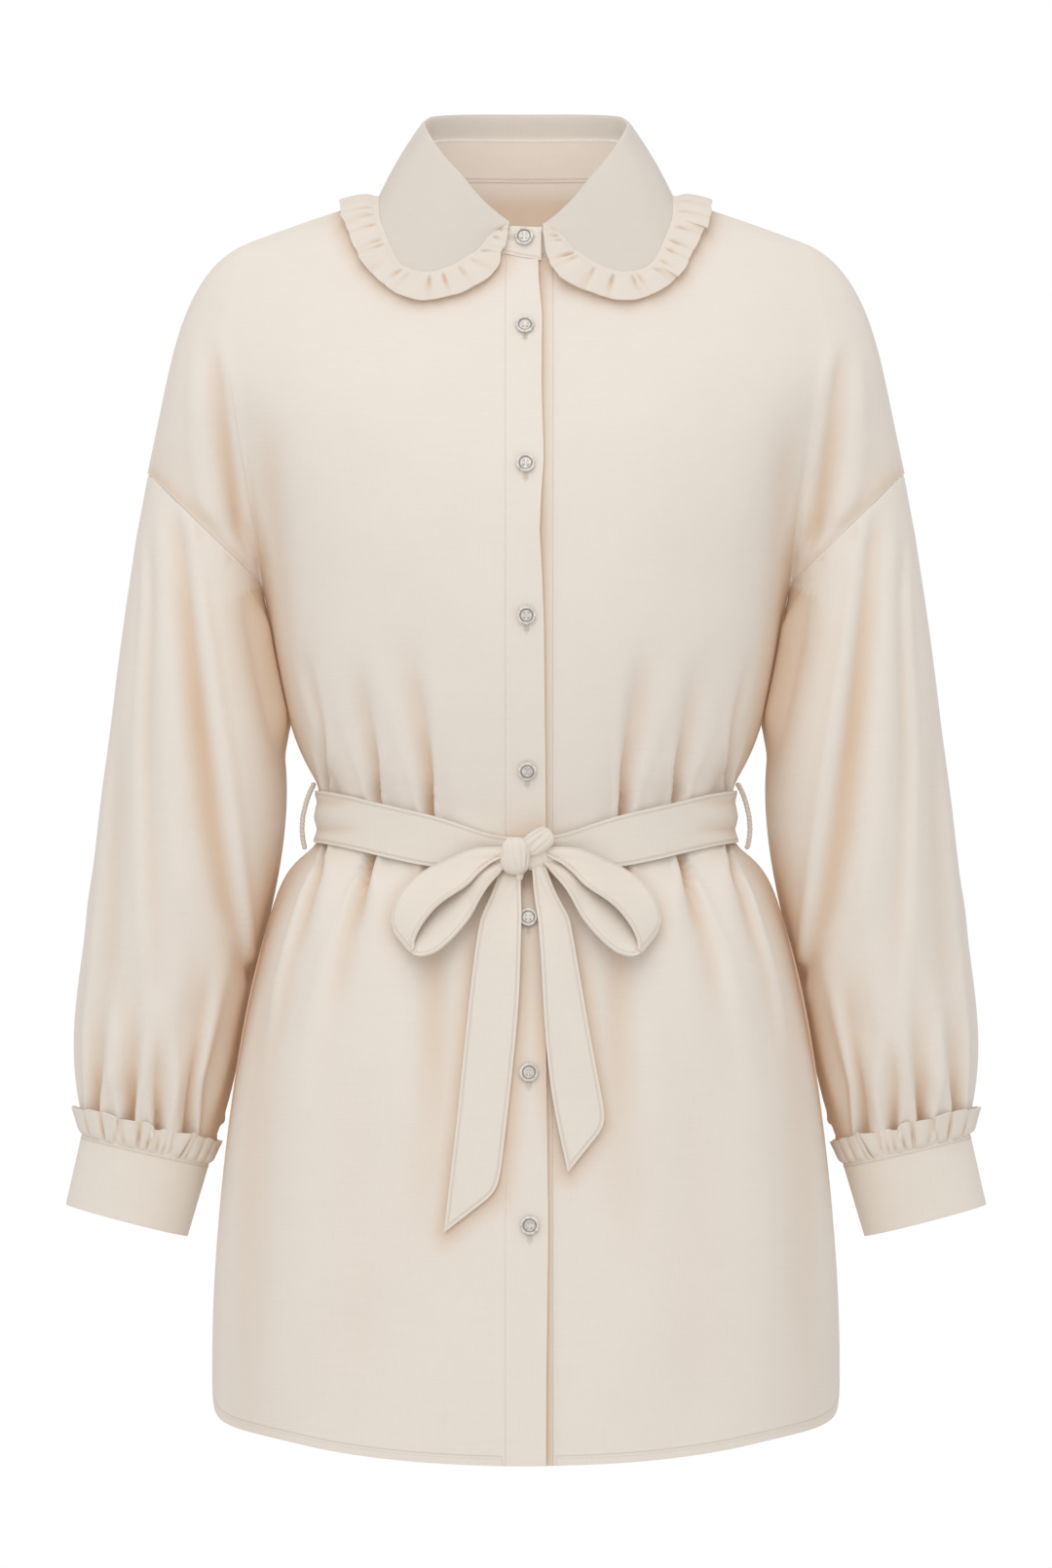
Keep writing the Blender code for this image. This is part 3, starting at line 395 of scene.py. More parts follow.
# %% Outer face
WELD = 0.00001
RIM_ANGLE, FRILL_RIM_ANGLE, JOIN_ANGLE = math.radians(52), math.radians(40), math.radians(60)


def sheets_of(mesh, sharp):
    """The parts of a mesh that lie between its sharp edges."""
    left = {face.index for face in mesh.faces}
    found = []
    while left:
        sheet, front = [], [left.pop()]
        while front:
            face = mesh.faces[front.pop()]
            sheet.append(face)
            for edge in face.edges:
                if len(edge.link_faces) == 2 and edge.calc_face_angle() < sharp:
                    near = edge.link_faces[1] if edge.link_faces[0] == face else edge.link_faces[0]
                    if near.index in left:
                        left.remove(near.index)
                        front.append(near.index)
        found.append(sheet)
    return found


def outer_face(name, front_only=False, sharp=RIM_ANGLE):
    mesh = bmesh_of(nodes[name].data)
    bmesh.ops.remove_doubles(mesh, verts=mesh.verts, dist=WELD)
    mesh.faces.ensure_lookup_table()
    mesh.faces.index_update()

    def outwards(sheet):
        if front_only:
            return -sum(face.normal.y * face.calc_area() for face in sheet)
        return sum(face.calc_area() for face in sheet)

    sheets = sorted(sheets_of(mesh, sharp), key=outwards)
    bmesh.ops.delete(mesh, geom=[face for sheet in sheets[:-1] for face in sheet], context="FACES")
    bmesh.ops.join_triangles(
        mesh, faces=mesh.faces, angle_face_threshold=JOIN_ANGLE, angle_shape_threshold=JOIN_ANGLE, cmp_seam=False
    )
    return mesh


def applied(made):
    """A mesh with the object's modifiers in it. The object is removed."""
    bpy.context.view_layer.update()
    seen = made.evaluated_get(bpy.context.evaluated_depsgraph_get())
    data = bpy.data.meshes.new_from_object(seen)
    old = made.data
    bpy.data.objects.remove(made)
    bpy.data.meshes.remove(old)
    return data


def smooth_sheet(name, levels, front_only=False):
    """A finer mesh over a piece's outer face. The corners stay where they are."""
    made = new_object(name + "_cage", mesh_data(name + "_cage", outer_face(name, front_only)))
    smooth = made.modifiers.new("smooth", "SUBSURF")
    smooth.levels = smooth.render_levels = levels
    smooth.boundary_smooth = "PRESERVE_CORNERS"
    return applied(made)


def points_of(data):
    """The corners and their normals, as arrays in millimetres."""
    points = np.empty(len(data.vertices) * 3)
    data.vertices.foreach_get("co", points)
    normals = np.empty(len(data.vertices) * 3, np.float32)
    data.vertex_normals.foreach_get("vector", normals)
    return points.reshape(-1, 3) / MM, normals.reshape(-1, 3).astype(float)


def move_points(data, points):
    data.vertices.foreach_set("co", (points * MM).ravel())
    data.update()


# %% [markdown]
# ## Edges and seams
# At a seam one piece is turned under the other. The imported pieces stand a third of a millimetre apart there, so the
# piece that lies below is grown past its edge and sunk under its neighbour. An edge is told by what it runs beside.

# %% Edges
def beside(*names, reach=2.2, turned=0.2):
    """A test that picks the edges that run beside other pieces and face them."""
    tree = tree_of(*names)

    def chosen(point, way):
        found = tree.find_nearest(point, reach * MM)[0]
        return found is not None and (found - point).normalized().dot(way) > turned

    return chosen


def anywhere(point, way):
    return True


def unless(test):
    return lambda point, way: not test(point, way)


def way_out(edge):
    """The direction in which an open edge faces, along the cloth."""
    face = edge.link_faces[0]
    middle = (edge.verts[0].co + edge.verts[1].co) / 2
    way = (edge.verts[1].co - edge.verts[0].co).cross(face.normal).normalized()
    return way if way.dot(middle - face.calc_center_median()) > 0 else -way


def open_edges(mesh, chosen):
    return [e for e in mesh.edges if e.is_boundary and chosen((e.verts[0].co + e.verts[1].co) / 2, way_out(e))]


def ways_out(edges):
    """The way out of the cloth at each corner of the edges, not yet of unit length."""
    ways = {}
    for edge in edges:
        for vert in edge.verts:
            ways[vert.index] = ways.get(vert.index, Vector()) + way_out(edge)
    return ways


def grow_edge(data, chosen, out, sink):
    """Adds a strip of cloth past the chosen edges, in millimetres, that dips under the neighbour."""
    mesh = bmesh_of(data)
    edges = open_edges(mesh, chosen)
    ways = ways_out(edges)
    grown = [g for g in bmesh.ops.extrude_edge_only(mesh, edges=edges)["geom"] if isinstance(g, bmesh.types.BMVert)]
    new = set(grown)
    for vert in grown:
        old = next(e.other_vert(vert) for e in vert.link_edges if e.other_vert(vert) not in new)
        vert.co += (ways[old.index].normalized() * out - old.normal * sink) * MM
    bmesh.ops.recalc_face_normals(mesh, faces=mesh.faces)
    mesh.to_mesh(data)
    mesh.free()
    data.update()


def edge_runs(data, chosen=anywhere):
    """The chosen open edges as lines of points, with the way out of the cloth at each."""
    mesh = bmesh_of(data)
    edges = open_edges(mesh, chosen)
    links, ways = {}, ways_out(edges)
    for edge in edges:
        for vert in edge.verts:
            links.setdefault(vert.index, []).append(edge.other_vert(vert).index)
    mesh.verts.ensure_lookup_table()
    runs, left = [], set(links)
    while left:
        ends = sorted(i for i in left if len(links[i]) == 1)
        run = [ends[0] if ends else min(left)]
        left.discard(run[0])
        while True:
            onward = [i for i in links[run[-1]] if i in left]
            if not onward:
                break
            run.append(onward[0])
            left.discard(onward[0])
        closed = len(run) > 2 and run[0] in links[run[-1]]
        points = np.array([mesh.verts[i].co[:] for i in run])
        runs.append((points, np.array([ways[i].normalized()[:] for i in run]), closed))
    mesh.free()
    return sorted(runs, key=lambda run: -len(run[0]))


def edge_distance(data, chosen, far=99.0):
    """How far each corner of the mesh is from the chosen open edges, in millimetres."""
    found = []
    for points, _, closed in edge_runs(data, chosen):
        line = np.vstack([points, points[:1]]) if closed else points
        for share in (0, 1 / 3, 2 / 3):
            found.extend(line[:-1] * (1 - share) + line[1:] * share)
    if not found:
        return np.full(len(data.vertices), far)
    tree = point_tree(found)
    return np.array([tree.find(vert.co)[2] / MM for vert in data.vertices])


# %% [markdown]
# ## Finishing a piece
# A sheet gets its cloth thickness inwards, its material, and the attributes that the material reads: how deep each
# point lies in a fold, and how far it is from the edge.

# %% Finishing
CLOTH_SHARP = 50
pieces = {}


def set_attribute(data, name, values):
    layer = data.attributes.new(name, "FLOAT", "POINT")
    layer.data.foreach_set("value", np.asarray(values, np.float32))


def finish_piece(name, data, material, wall, seam=None, edge=None, folds=None, hollow=False):
    """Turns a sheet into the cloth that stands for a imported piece. Seam and edge are distances from the open edges
    and from the stitched ones. Folds is a tone from 0 to 1. The inner side of a hollow piece gets daylight."""
    count = len(data.vertices)

    def whole(values, rest):
        """Values for every corner: those that were grown later get the rest."""
        values = np.zeros(0) if values is None else np.asarray(values)
        return np.concatenate([values[:count], np.full(max(count - len(values), 0), rest)])

    set_attribute(data, "seam", whole(seam, 99.0))
    set_attribute(data, "edge", whole(edge, 99.0))
    if folds is not None or "fold" not in data.attributes:
        set_attribute(data, "fold", whole(folds, 0.0))
    if wall:
        sheet = new_object(name + "_sheet", data)
        thick = sheet.modifiers.new("wall", "SOLIDIFY")
        thick.thickness = wall * MM
        thick.offset = -1
        data = applied(sheet)
        set_attribute(data, "inside", hollow * (np.arange(len(data.vertices)) >= count))
    data.name = name + "_cloth"
    pieces[name] = shown(name + "_cloth", data, material, CLOTH_SHARP)
    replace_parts(pieces[name], name)
    print(name, len(data.polygons), "faces")


# %% [markdown]
# ## Stitches
# A machine stitch is a short dash of thread that sinks into the cloth at both ends. A row of them runs at a set
# distance inside an edge, and each dash is a slim prism with five sides, laid on the cloth's surface.

# %% Stitch rows
Stitch = namedtuple("Stitch", "place along normal")
STITCH_PITCH, STITCH_LENGTH, STITCH_RADIUS, STITCH_REACH = 3.0, 2.3, 0.19, 1.5
STITCH_RISE, HALF_STEP = 0.05, 0.8
SHORTEST_RUN = 6  # in corners of the mesh
stitch_rows = {}


def measured(points, closed=False):
    """A line, which comes back to its start when closed, and how far along it each point lies."""
    line = np.vstack([points, points[:1]]) if closed else points
    return line, np.concatenate([[0], np.cumsum(np.linalg.norm(np.diff(line, axis=0), axis=1))])


def read_off(line, at, where):
    """Points at other distances along a line."""
    return np.stack([np.interp(where, at, line[:, a]) for a in range(3)], axis=-1)


def along_line(points, closed, pitch):
    """Places at an even pitch along a line, with the line's direction at each. All in millimetres."""
    line, at = measured(points, closed)
    count = max(int(at[-1] / pitch), 1)
    for k in range(count):
        start, end = (read_off(line, at, (k + 0.5) * at[-1] / count + off) for off in (-HALF_STEP, HALF_STEP))
        yield (start + end) / 2, end - start


def stitch_edge(group, data, chosen, inset, inner=0.0):
    """A row of stitches beside an edge. With inner, it runs on the cloth's inner face, that far inwards."""
    tree = search_tree(data)
    rows = stitch_rows.setdefault(group, [])
    for points, ways, closed in edge_runs(data, chosen):
        if len(points) < SHORTEST_RUN:
            continue
        for place, along in along_line(points / MM - ways * inset, closed, STITCH_PITCH):
            found, normal, _, distance = tree.find_nearest(Vector(place) * MM)
            if found is None or distance > STITCH_REACH * MM:
                continue
            if inner:
                found, normal = found - normal * inner * MM, -normal
            rows.append(Stitch(found, Vector(along).normalized(), normal))


def add_rod(mesh, sides, radius, length, place, capped=True):
    bmesh.ops.create_cone(
        mesh, cap_ends=capped, segments=sides, radius1=radius, radius2=radius, depth=length, matrix=place
    )


def axes_turn(*axes):
    """The turn that lays X, Y and Z along these axes."""
    return Matrix(axes).transposed().to_4x4()


def sew(group, material):
    """Turns a group's stitches into one piece of thread."""
    mesh = bmesh.new()
    for stitch in stitch_rows[group]:
        side = stitch.along.cross(stitch.normal).normalized()
        turn = axes_turn(side, stitch.along.cross(side), stitch.along)
        place = Matrix.Translation(stitch.place + stitch.normal * STITCH_RISE * MM) @ turn
        add_rod(mesh, 5, STITCH_RADIUS * MM, STITCH_LENGTH * MM, place)
    bmesh.ops.recalc_face_normals(mesh, faces=mesh.faces)
    shown(group, mesh_data(group, mesh), material)
    print(group, len(stitch_rows[group]), "stitches")


# %% [markdown]
# ## Folds, placed one by one
# Gathered cloth falls in soft troughs with a low ridge on each side. Each fold here is a short table down its
# length: the drop, how far across it lies, its width and its depth, all in millimetres, as seen from the front. A
# trough can be steeper on one side, where a tuck tips over. The depth is taken along the cloth's own normal, and a
# negative depth is a ridge.

# %% Folds
Fold = namedtuple("Fold", "steep bends")  # each bend is (drop, across, width, depth)
RIDGE_SHARE, RIDGE_PLACE, RIDGE_WIDTH = 0.30, 1.9, 0.9
STEEPNESS = 1.9
LEAST_FACING = 0.35
FOLD_TONE_DEPTH = 9.0


def fold_depths(points, normals, folds):
    """How far in each point goes for all the folds, in millimetres."""
    across, drop = points[:, 0], -points[:, 2]
    facing = np.maximum(np.abs(normals[:, 1]), LEAST_FACING)
    total = np.zeros(len(points))
    for fold in folds:
        drops, places, widths, depths = (np.array(column, float) for column in zip(*fold.bends))
        width = np.interp(drop, drops, widths)
        off = (across - np.interp(drop, drops, places)) / facing / width
        off = off * np.where(off * fold.steep > 0, STEEPNESS, 1.0)
        trough = np.exp(-(off**2)) - RIDGE_SHARE * np.exp(-(((np.abs(off) - RIDGE_PLACE) / RIDGE_WIDTH) ** 2))
        total += smooth_between(drop, drops, depths) * trough
    return total


def soft_step(low, high, value):
    share = np.clip((value - low) / (high - low), 0, 1)
    return share * share * (3 - 2 * share)


def smooth_between(where, places, values):
    """Values read off a table, eased in and out at each row, and nothing past its ends."""
    row = np.clip(np.searchsorted(places, where) - 1, 0, len(places) - 2)
    share = soft_step(places[row], places[row + 1], where)
    found = values[row] * (1 - share) + values[row + 1] * share
    return np.where((where < places[0]) | (where > places[-1]), 0.0, found)


def mirrored(folds, across=1.0, depth=1.0, shift=0.0):
    """The same folds on the other side, a little different, because no two sides hang alike."""
    made = []
    for fold in folds:
        bends = [(drop + shift, -place * across, width, deep * depth) for drop, place, width, deep in fold.bends]
        made.append(Fold(-fold.steep, bends))
    return made


def tone_of(depth):
    return np.clip(depth / FOLD_TONE_DEPTH, 0, 1) ** 1.4


ABOVE_BELT = (
    Fold(1, ((270, -138, 12, 0), (324, -127, 9, 3), (352, -122, 6, 6), (369, -121, 3.6, 8), (388, -121, 3.4, 0))),
    Fold(1, ((275, -105, 14, 0), (326, -97, 10, 3), (355, -91.5, 6, 6), (375, -89.4, 3.4, 8.5), (396, -89, 3.4, 0))),
    Fold(1, ((262, -74, 15, 0), (324, -64, 10, 3.5), (355, -59.5, 6, 6), (381, -57.6, 3.4, 8.5), (404, -57, 3.4, 0))),
)
BELOW_BELT = (
    Fold(-1, ((384, -119, 3.6, 0), (402, -123, 4.4, 7), (430, -134, 8, 5), (480, -147, 13, 2), (545, -156, 16, 0))),
    Fold(-1, ((388, -91, 3.4, 0), (408, -95.5, 4, 8), (430, -102, 7, 6), (463, -112, 12, 3.5), (520, -122, 17, 1.5),
        (590, -128, 20, 0))),
    Fold(0, ((394, -54, 3.4, 0), (415, -56.5, 4.5, 7), (450, -57, 9, 4.5), (520, -56, 13, 4), (590, -56, 18, 2.5),
        (690, -58, 24, 0))),
)
SKIRT_SWELLS = (
    Fold(0, ((430, -158, 20, 0), (520, -165, 28, 2.5), (640, -170, 34, 2.5), (775, -172, 38, 1.5))),
    Fold(0, ((480, -98, 22, 0), (600, -101, 28, 2), (690, -104, 30, 1.8), (775, -108, 32, 0))),
)
CAP_FOLDS = (
    Fold(1, ((84, -194, 9, 0), (120, -189, 11, 4), (165, -182, 11, 6), (200, -175, 9, 6), (232, -168, 7, 0))),
    Fold(0, ((120, -160, 14, 0), (180, -158, 18, 3), (250, -152, 20, 3), (330, -140, 16, 0))),
)
BODY_RIGHT = ABOVE_BELT + BELOW_BELT + SKIRT_SWELLS + CAP_FOLDS
BODY_FOLDS = list(BODY_RIGHT) + mirrored(BODY_RIGHT, 1.01, 0.95, 2)
BACK_FOLDS = mirrored(BODY_RIGHT, 0.93, 0.9, -6) + mirrored(mirrored(BODY_RIGHT, 0.97, 0.8, 3))
print(len(BODY_FOLDS), "folds on the fronts")

# %% [markdown]
# ## Cloth that faces cloth
# Where a sleeve hangs beside the body, the light between them has bounced off cream cloth several times, so both
# sides glow peach. The tone grows as the gap narrows, and only on the sides that face each other. The frill, the bow
# and the tails lie so close that the cloth round them glows as well.

# %% Warm gaps
GAP_REACH, GAP_TONE = 26.0, 0.8


def gap_tone(data, tree):
    tone = np.zeros(len(data.vertices))
    for i, vert in enumerate(data.vertices):
        found, _, _, distance = tree.find_nearest(vert.co, 3 * GAP_REACH * MM)
        if found is not None and distance > 2 * MM:
            facing = max(vert.normal.dot((found - vert.co).normalized()), 0)
            tone[i] = GAP_TONE * facing * math.exp(-((distance / MM / GAP_REACH) ** 2))
    return tone


COVERS = ("collar_frill", "belt_tail_right", "belt_tail_left", "bow_loop_right", "bow_loop_left", "belt_knot")
COVER_REACH, COVER_TONE = 8.0, 0.5
cover_tree = tree_of(*COVERS)


def cover_tone(data, tree=cover_tree, reach=COVER_REACH):
    """Warm light beside and under the pieces that lie on top."""
    found = [tree.find_nearest(vert.co, 3 * reach * MM)[3] for vert in data.vertices]
    near = np.array([3 * reach if distance is None else distance / MM for distance in found])
    return COVER_TONE * np.exp(-((near / reach) ** 2))


# %% [markdown]
# ## The body
# The two fronts and the back are each one sheet with the cap of its dropped sleeve. The folds fade out beside the
# button placket, because three plies of cloth lie flat there. Under the belt the cloth is pressed flat against the
# belt's inside.

# %% Fronts and back
CLOTH_WALL = 0.9
PANEL_LEVELS = 3
SEAM_FADE = 12  # folds are whole this far from a sleeve's seam
PLACKET_EDGE, PLACKET_CLEAR = 20, 44
PRESS_REACH, PRESS_GAP, PRESS_TOP, PRESS_BOTTOM = 14.0, 0.4, -360, -422
HEM_DROP, HEM_FACING, HEM_STITCH = 0.700, -0.3, 4.4
belt_tree = tree_of("belt_band")


def pressed(points, normals, tree):
    """Moves points that stand above the tree's inner face to just under it."""
    moved = points.copy()
    near = (points[:, 2] < PRESS_TOP) & (points[:, 2] > PRESS_BOTTOM)
    for i in np.flatnonzero(near):
        start = points[i] - normals[i] * PRESS_REACH
        found, _, _, distance = tree.ray_cast(Vector(start) * MM, Vector(normals[i]), 2 * PRESS_REACH * MM)
        if found is not None:
            too_far = PRESS_REACH - (distance / MM - PRESS_GAP)
            moved[i] -= normals[i] * max(too_far, 0)
    return moved


def beside_placket(points):
    flat = soft_step(PLACKET_EDGE, PLACKET_CLEAR, np.abs(points[:, 0]))
    return np.where(points[:, 1] < 0, flat, 1.0)


HEM_LIFT = 9.0  # the hem's middle, in front and behind, is this much higher than packed
LIFT_DROPS, LIFT_DEPTHS = (620, 780), (15, 95)  # where the lift begins and is whole, down the cloth and from its side


def lifted(points):
    """The middle of the hem draws up a little, and its sides hang."""
    share = soft_step(*LIFT_DROPS, -points[:, 2]) * soft_step(*LIFT_DEPTHS, np.abs(points[:, 1]))
    return points + HEM_LIFT * share[:, None] * (0, 0, 1)


def hem_only(name):
    """The hem is the low edge that runs beside no other piece."""
    others = beside(*(n for n in ("back", "front_right", "front_left", "placket", "button_band") if n != name))
    return lambda point, way: -point.z > HEM_DROP and way.z < HEM_FACING and not others(point, way)


Seam = namedtuple("Seam", "beside out sink")
Panel = namedtuple("Panel", "name folds seams")
SLEEVES = ("sleeve_right", "sleeve_left")
NECK_SEAM, SIDE_SEAM, SLEEVE_SEAM = Seam(("collar_stand",), 2, 0.6), Seam(("back",), 1.2, 0.4), Seam(SLEEVES, 0.5, 0)
PANELS = (
    Panel("front_right", BODY_FOLDS, (Seam(("placket",), 4, 1.0), NECK_SEAM, SIDE_SEAM, SLEEVE_SEAM)),
    Panel("front_left", BODY_FOLDS, (Seam(("button_band",), 4, 1.0), NECK_SEAM, SIDE_SEAM, SLEEVE_SEAM)),
    Panel("back", BACK_FOLDS, (NECK_SEAM, SLEEVE_SEAM)),
)
sleeve_tree = tree_of(*SLEEVES)
for panel in PANELS:
    sheet = smooth_sheet(panel.name, PANEL_LEVELS)
    points, normals = points_of(sheet)
    points = lifted(points)
    depth = fold_depths(points, normals, panel.folds) * beside_placket(points)
    depth *= soft_step(0, SEAM_FADE, edge_distance(sheet, beside(*SLEEVES)))
    move_points(sheet, pressed(points - normals * depth[:, None], normals, belt_tree))
    tone = np.maximum.reduce([tone_of(depth), gap_tone(sheet, sleeve_tree), cover_tone(sheet)])
    hem = hem_only(panel.name)
    seam, edge = edge_distance(sheet, unless(beside("placket", "button_band"))), edge_distance(sheet, hem)
    stitch_edge("hem_stitches", sheet, hem, HEM_STITCH)
    for joint in panel.seams:
        grow_edge(sheet, beside(*joint.beside), joint.out, joint.sink)
    finish_piece(panel.name, sheet, body_cloth, CLOTH_WALL, seam, edge, tone, True)

# %% [markdown]
# ## Placket and button band
# Two narrow doubled bands, one on each front, lap over each other. Each lies flat where it is sewn to its front. The
# placket's free edge is held only at the buttons, so between them it wanders in and out and lifts a little.

# %% Bands
BAND_WALL, FLAT_BAND_WALL = 1.6, 1.3
BAND_STITCH = 1.4
HELD_SINK, HELD_REACH = 0.5, 3.0
LAP_REACH = 4.0
WANDERS = (  # how far across the free edge lies at each drop
    (56, -1.8), (76, 0.1), (120, -0.5), (166, 0.6), (188, -1.2), (210, -2.3), (236, -0.9), (264, 0.1), (350, 0.5),
    (470, 0.4), (520, -0.5), (580, 0.1), (634, 0.6), (686, -0.2), (730, -0.8), (790, -1.2),
)
WANDER_REACH, WANDER_LIFT = 12.0, 0.7


def free_edge(point, way):
    return way.x > 0.6


for name, carrier in (("placket", "front_right"), ("button_band", "front_left")):
    sheet = smooth_sheet(name, 2)
    held = beside(carrier)
    points, normals = points_of(sheet)
    points -= normals * (HELD_SINK * soft_step(HELD_REACH, 0, edge_distance(sheet, held)))[:, None]
    if name == "placket":
        near = soft_step(WANDER_REACH, 0, edge_distance(sheet, free_edge))
        shift = np.interp(-points[:, 2], *zip(*WANDERS)) * near
        points[:, 0] += shift
        points += normals * (WANDER_LIFT * np.clip(-shift, 0, 2) * near)[:, None]
    move_points(sheet, lifted(points))
    seam, edge = edge_distance(sheet, unless(held)), edge_distance(sheet, held)
    stitch_edge("band_stitches", sheet, held, BAND_STITCH)
    tone = cover_tone(sheet)
    if name == "button_band":
        tone = np.maximum(tone, cover_tone(sheet, tree_of("placket"), LAP_REACH))
    finish_piece(name, sheet, band_cloth, FLAT_BAND_WALL, seam, edge, tone)

# %% [markdown]
# ## Sleeves
# A balloon sleeve hangs in a few long soft folds from the shoulder seam, and its fullness is drawn into the cuff in
# short deep gathers that fade upwards. Each fold is placed on the front half, and its like on the back half.

# %% Sleeves
SLEEVE_MIDDLE = 229
BEHIND_HIGHER, BEHIND_DEPTH = 5, 0.85
SLEEVE_FOLDS = (
    Fold(1, ((186, -216, 7, 0), (218, -212, 9, 3.5), (264, -207, 11, 6), (328, -199, 13, 7), (389, -190, 14, 6.5),
        (435, -181, 13, 6), (468, -172, 11, 4), (505, -165, 10, 0))),
    Fold(-1, ((200, -233, 8, 0), (250, -230, 9, 2.5), (340, -233, 10, 3), (420, -230, 10, 3), (480, -227, 9, 2),
        (530, -225, 8, 0))),
    Fold(0, ((300, -250, 12, 0), (380, -253, 13, 2.5), (470, -257, 13, 2.5), (520, -260, 11, 0))),
    Fold(0, ((480, -261, 13, 0), (530, -265, 8, 4), (556, -266.5, 4.5, 7), (590, -268, 3.6, 7))),
    Fold(1, ((470, -240, 14, 0), (530, -242, 9, 4.5), (563, -243, 4.4, 8), (592, -245, 3.6, 8))),
    Fold(-1, ((500, -223, 12, 0), (545, -226, 7, 4.5), (570, -227, 4, 7), (596, -229, 3.6, 7))),
    Fold(1, ((455, -192, 16, 0), (510, -199, 11, 4.5), (545, -204, 6, 7), (598, -209, 4.2, 8))),
)
gathers = {-1: list(SLEEVE_FOLDS), 1: mirrored(SLEEVE_FOLDS, 1.0, 0.95, 3)}


def turned_round(fold, middle):
    """The like of a fold on the back half of the sleeve."""
    bends = [
        (drop - BEHIND_HIGHER, 2 * middle - place, width, deep * BEHIND_DEPTH)
        for drop, place, width, deep in fold.bends
    ]
    return Fold(-fold.steep, bends)


LEAN_REACH, LEAN_GAP = 16.0, 0.6
LEAN = (6, 40, 318, 350)  # begins and is full this far from the seam, and ends between these drops


def lean_on(data, tree, from_seam):
    """Under the arm the sleeve falls against the body, and parts from it again above the waist."""
    points, normals = points_of(data)
    drop = -points[:, 2]
    start, full, end, free = LEAN
    share = soft_step(start, full, from_seam) * (1 - soft_step(end, free, drop))
    for i in np.flatnonzero(share > 0):
        found, _, _, distance = tree.find_nearest(Vector(points[i]) * MM, LEAN_REACH * MM)
        if found is None:
            continue
        way = np.array(found) / MM - points[i]
        facing = soft_step(0.1, 0.7, normals[i].dot(way) / (distance / MM + 1e-6))
        near = 1 - soft_step(0.6, 1.0, distance / MM / LEAN_REACH)
        points[i] += way * max(1 - LEAN_GAP / (distance / MM), 0) * facing * near * share[i]
    move_points(data, points)


body_tree = tree_of("front_right", "front_left", "back")
for side, word, material in ((-1, "right", right_sleeve_cloth), (1, "left", left_sleeve_cloth)):
    name = "sleeve_" + word
    sheet = smooth_sheet(name, PANEL_LEVELS)
    points, normals = points_of(sheet)
    at_front = soft_step(-0.12, 0.12, -normals[:, 1])
    behind = [turned_round(fold, side * SLEEVE_MIDDLE) for fold in gathers[side]]
    depth = fold_depths(points, normals, gathers[side]) * at_front
    depth += fold_depths(points, normals, behind) * (1 - at_front)
    body_seam, cuff_seam = beside("front_right", "front_left", "back"), beside("cuff_" + word, reach=3)
    depth *= soft_step(0, SEAM_FADE, edge_distance(sheet, body_seam))
    move_points(sheet, points - normals * depth[:, None])
    tone = np.maximum(tone_of(depth), gap_tone(sheet, body_tree))
    seam = edge_distance(sheet, body_seam)
    lean_on(sheet, body_tree, seam)
    grow_edge(sheet, body_seam, 3, 0.5)
    grow_edge(sheet, cuff_seam, 4, 1.0)
    finish_piece(name, sheet, material, CLOTH_WALL, seam, None, tone, True)

# %% [markdown]
# ## Cuffs, collar stand and collar
# These are doubled and stiffened, so they keep clean curves. The turned-down collar is one smooth sheet that rolls
# over the stand's top, and it is sewn to the stand inside the neck, where the stitches show.

# %% Cuffs and collar
COLLAR_WALL = 1.3
CUFF_STITCH, STAND_STITCH, COLLAR_STITCH = 1.7, 1.6, 1.4
NECK_SIDE = -0.035  # behind this the collar's seam lies inside the neck
for word in ("right", "left"):
    name = "cuff_" + word
    sheet = smooth_sheet(name, 2)
    top = beside("sleeve_" + word, "cuff_frill_" + word, reach=4)
    seam, edge = edge_distance(sheet, anywhere), edge_distance(sheet, top)
    stitch_edge("cuff_stitches", sheet, top, CUFF_STITCH)
    finish_piece(name, sheet, cuff_cloth, BAND_WALL, seam, edge)

DIP, DIP_NEAR, DIP_FAR = 10.0, 15, 42
DIP_LOW, DIP_HIGH, DIP_FRONT = -27, -8, -20
POINT_PULL, PULL_REACH = 4.0, (40, 14)
DROOP, DROOP_HIGH, DROOP_LOW = 5.0, -15, -58
CHEST_SLOPE = 0.55  # how far out the chest goes for each step down


def drooped(points):
    """The collar's round fronts slide a little down the chest."""
    share = soft_step(DROOP_HIGH, DROOP_LOW, points[:, 2]) * (points[:, 1] < 0)
    return points + DROOP * share[:, None] * (0, -CHEST_SLOPE, -1)


def dipped(points, pull=0.0):
    """The stand and the collar dip at the front, towards the top button, and the collar's points draw together."""
    off = np.abs(points[:, 0])
    near = (1 - soft_step(DIP_NEAR, DIP_FAR, off)) * (points[:, 1] < DIP_FRONT)
    share = near * soft_step(DIP_LOW, DIP_HIGH, points[:, 2])
    moved = points.copy()
    moved[:, 2] -= DIP * share
    moved[:, 0] -= np.sign(points[:, 0]) * pull * share * soft_step(*PULL_REACH, off)
    return drooped(moved) if pull else moved


sheet = smooth_sheet("collar_stand", 2)
move_points(sheet, dipped(points_of(sheet)[0]))
below, above = beside("front_right", "front_left", "back", "placket", "button_band", reach=3), beside("collar_fall")
seam, edge = edge_distance(sheet, anywhere), edge_distance(sheet, below)
stitch_edge("collar_stitches", sheet, below, STAND_STITCH)
stitch_edge("collar_stitches", sheet, below, STAND_STITCH, BAND_WALL)
stitch_edge("collar_stitches", sheet, above, COLLAR_STITCH, BAND_WALL)
finish_piece("collar_stand", sheet, stand_cloth, BAND_WALL, seam, edge, None, True)

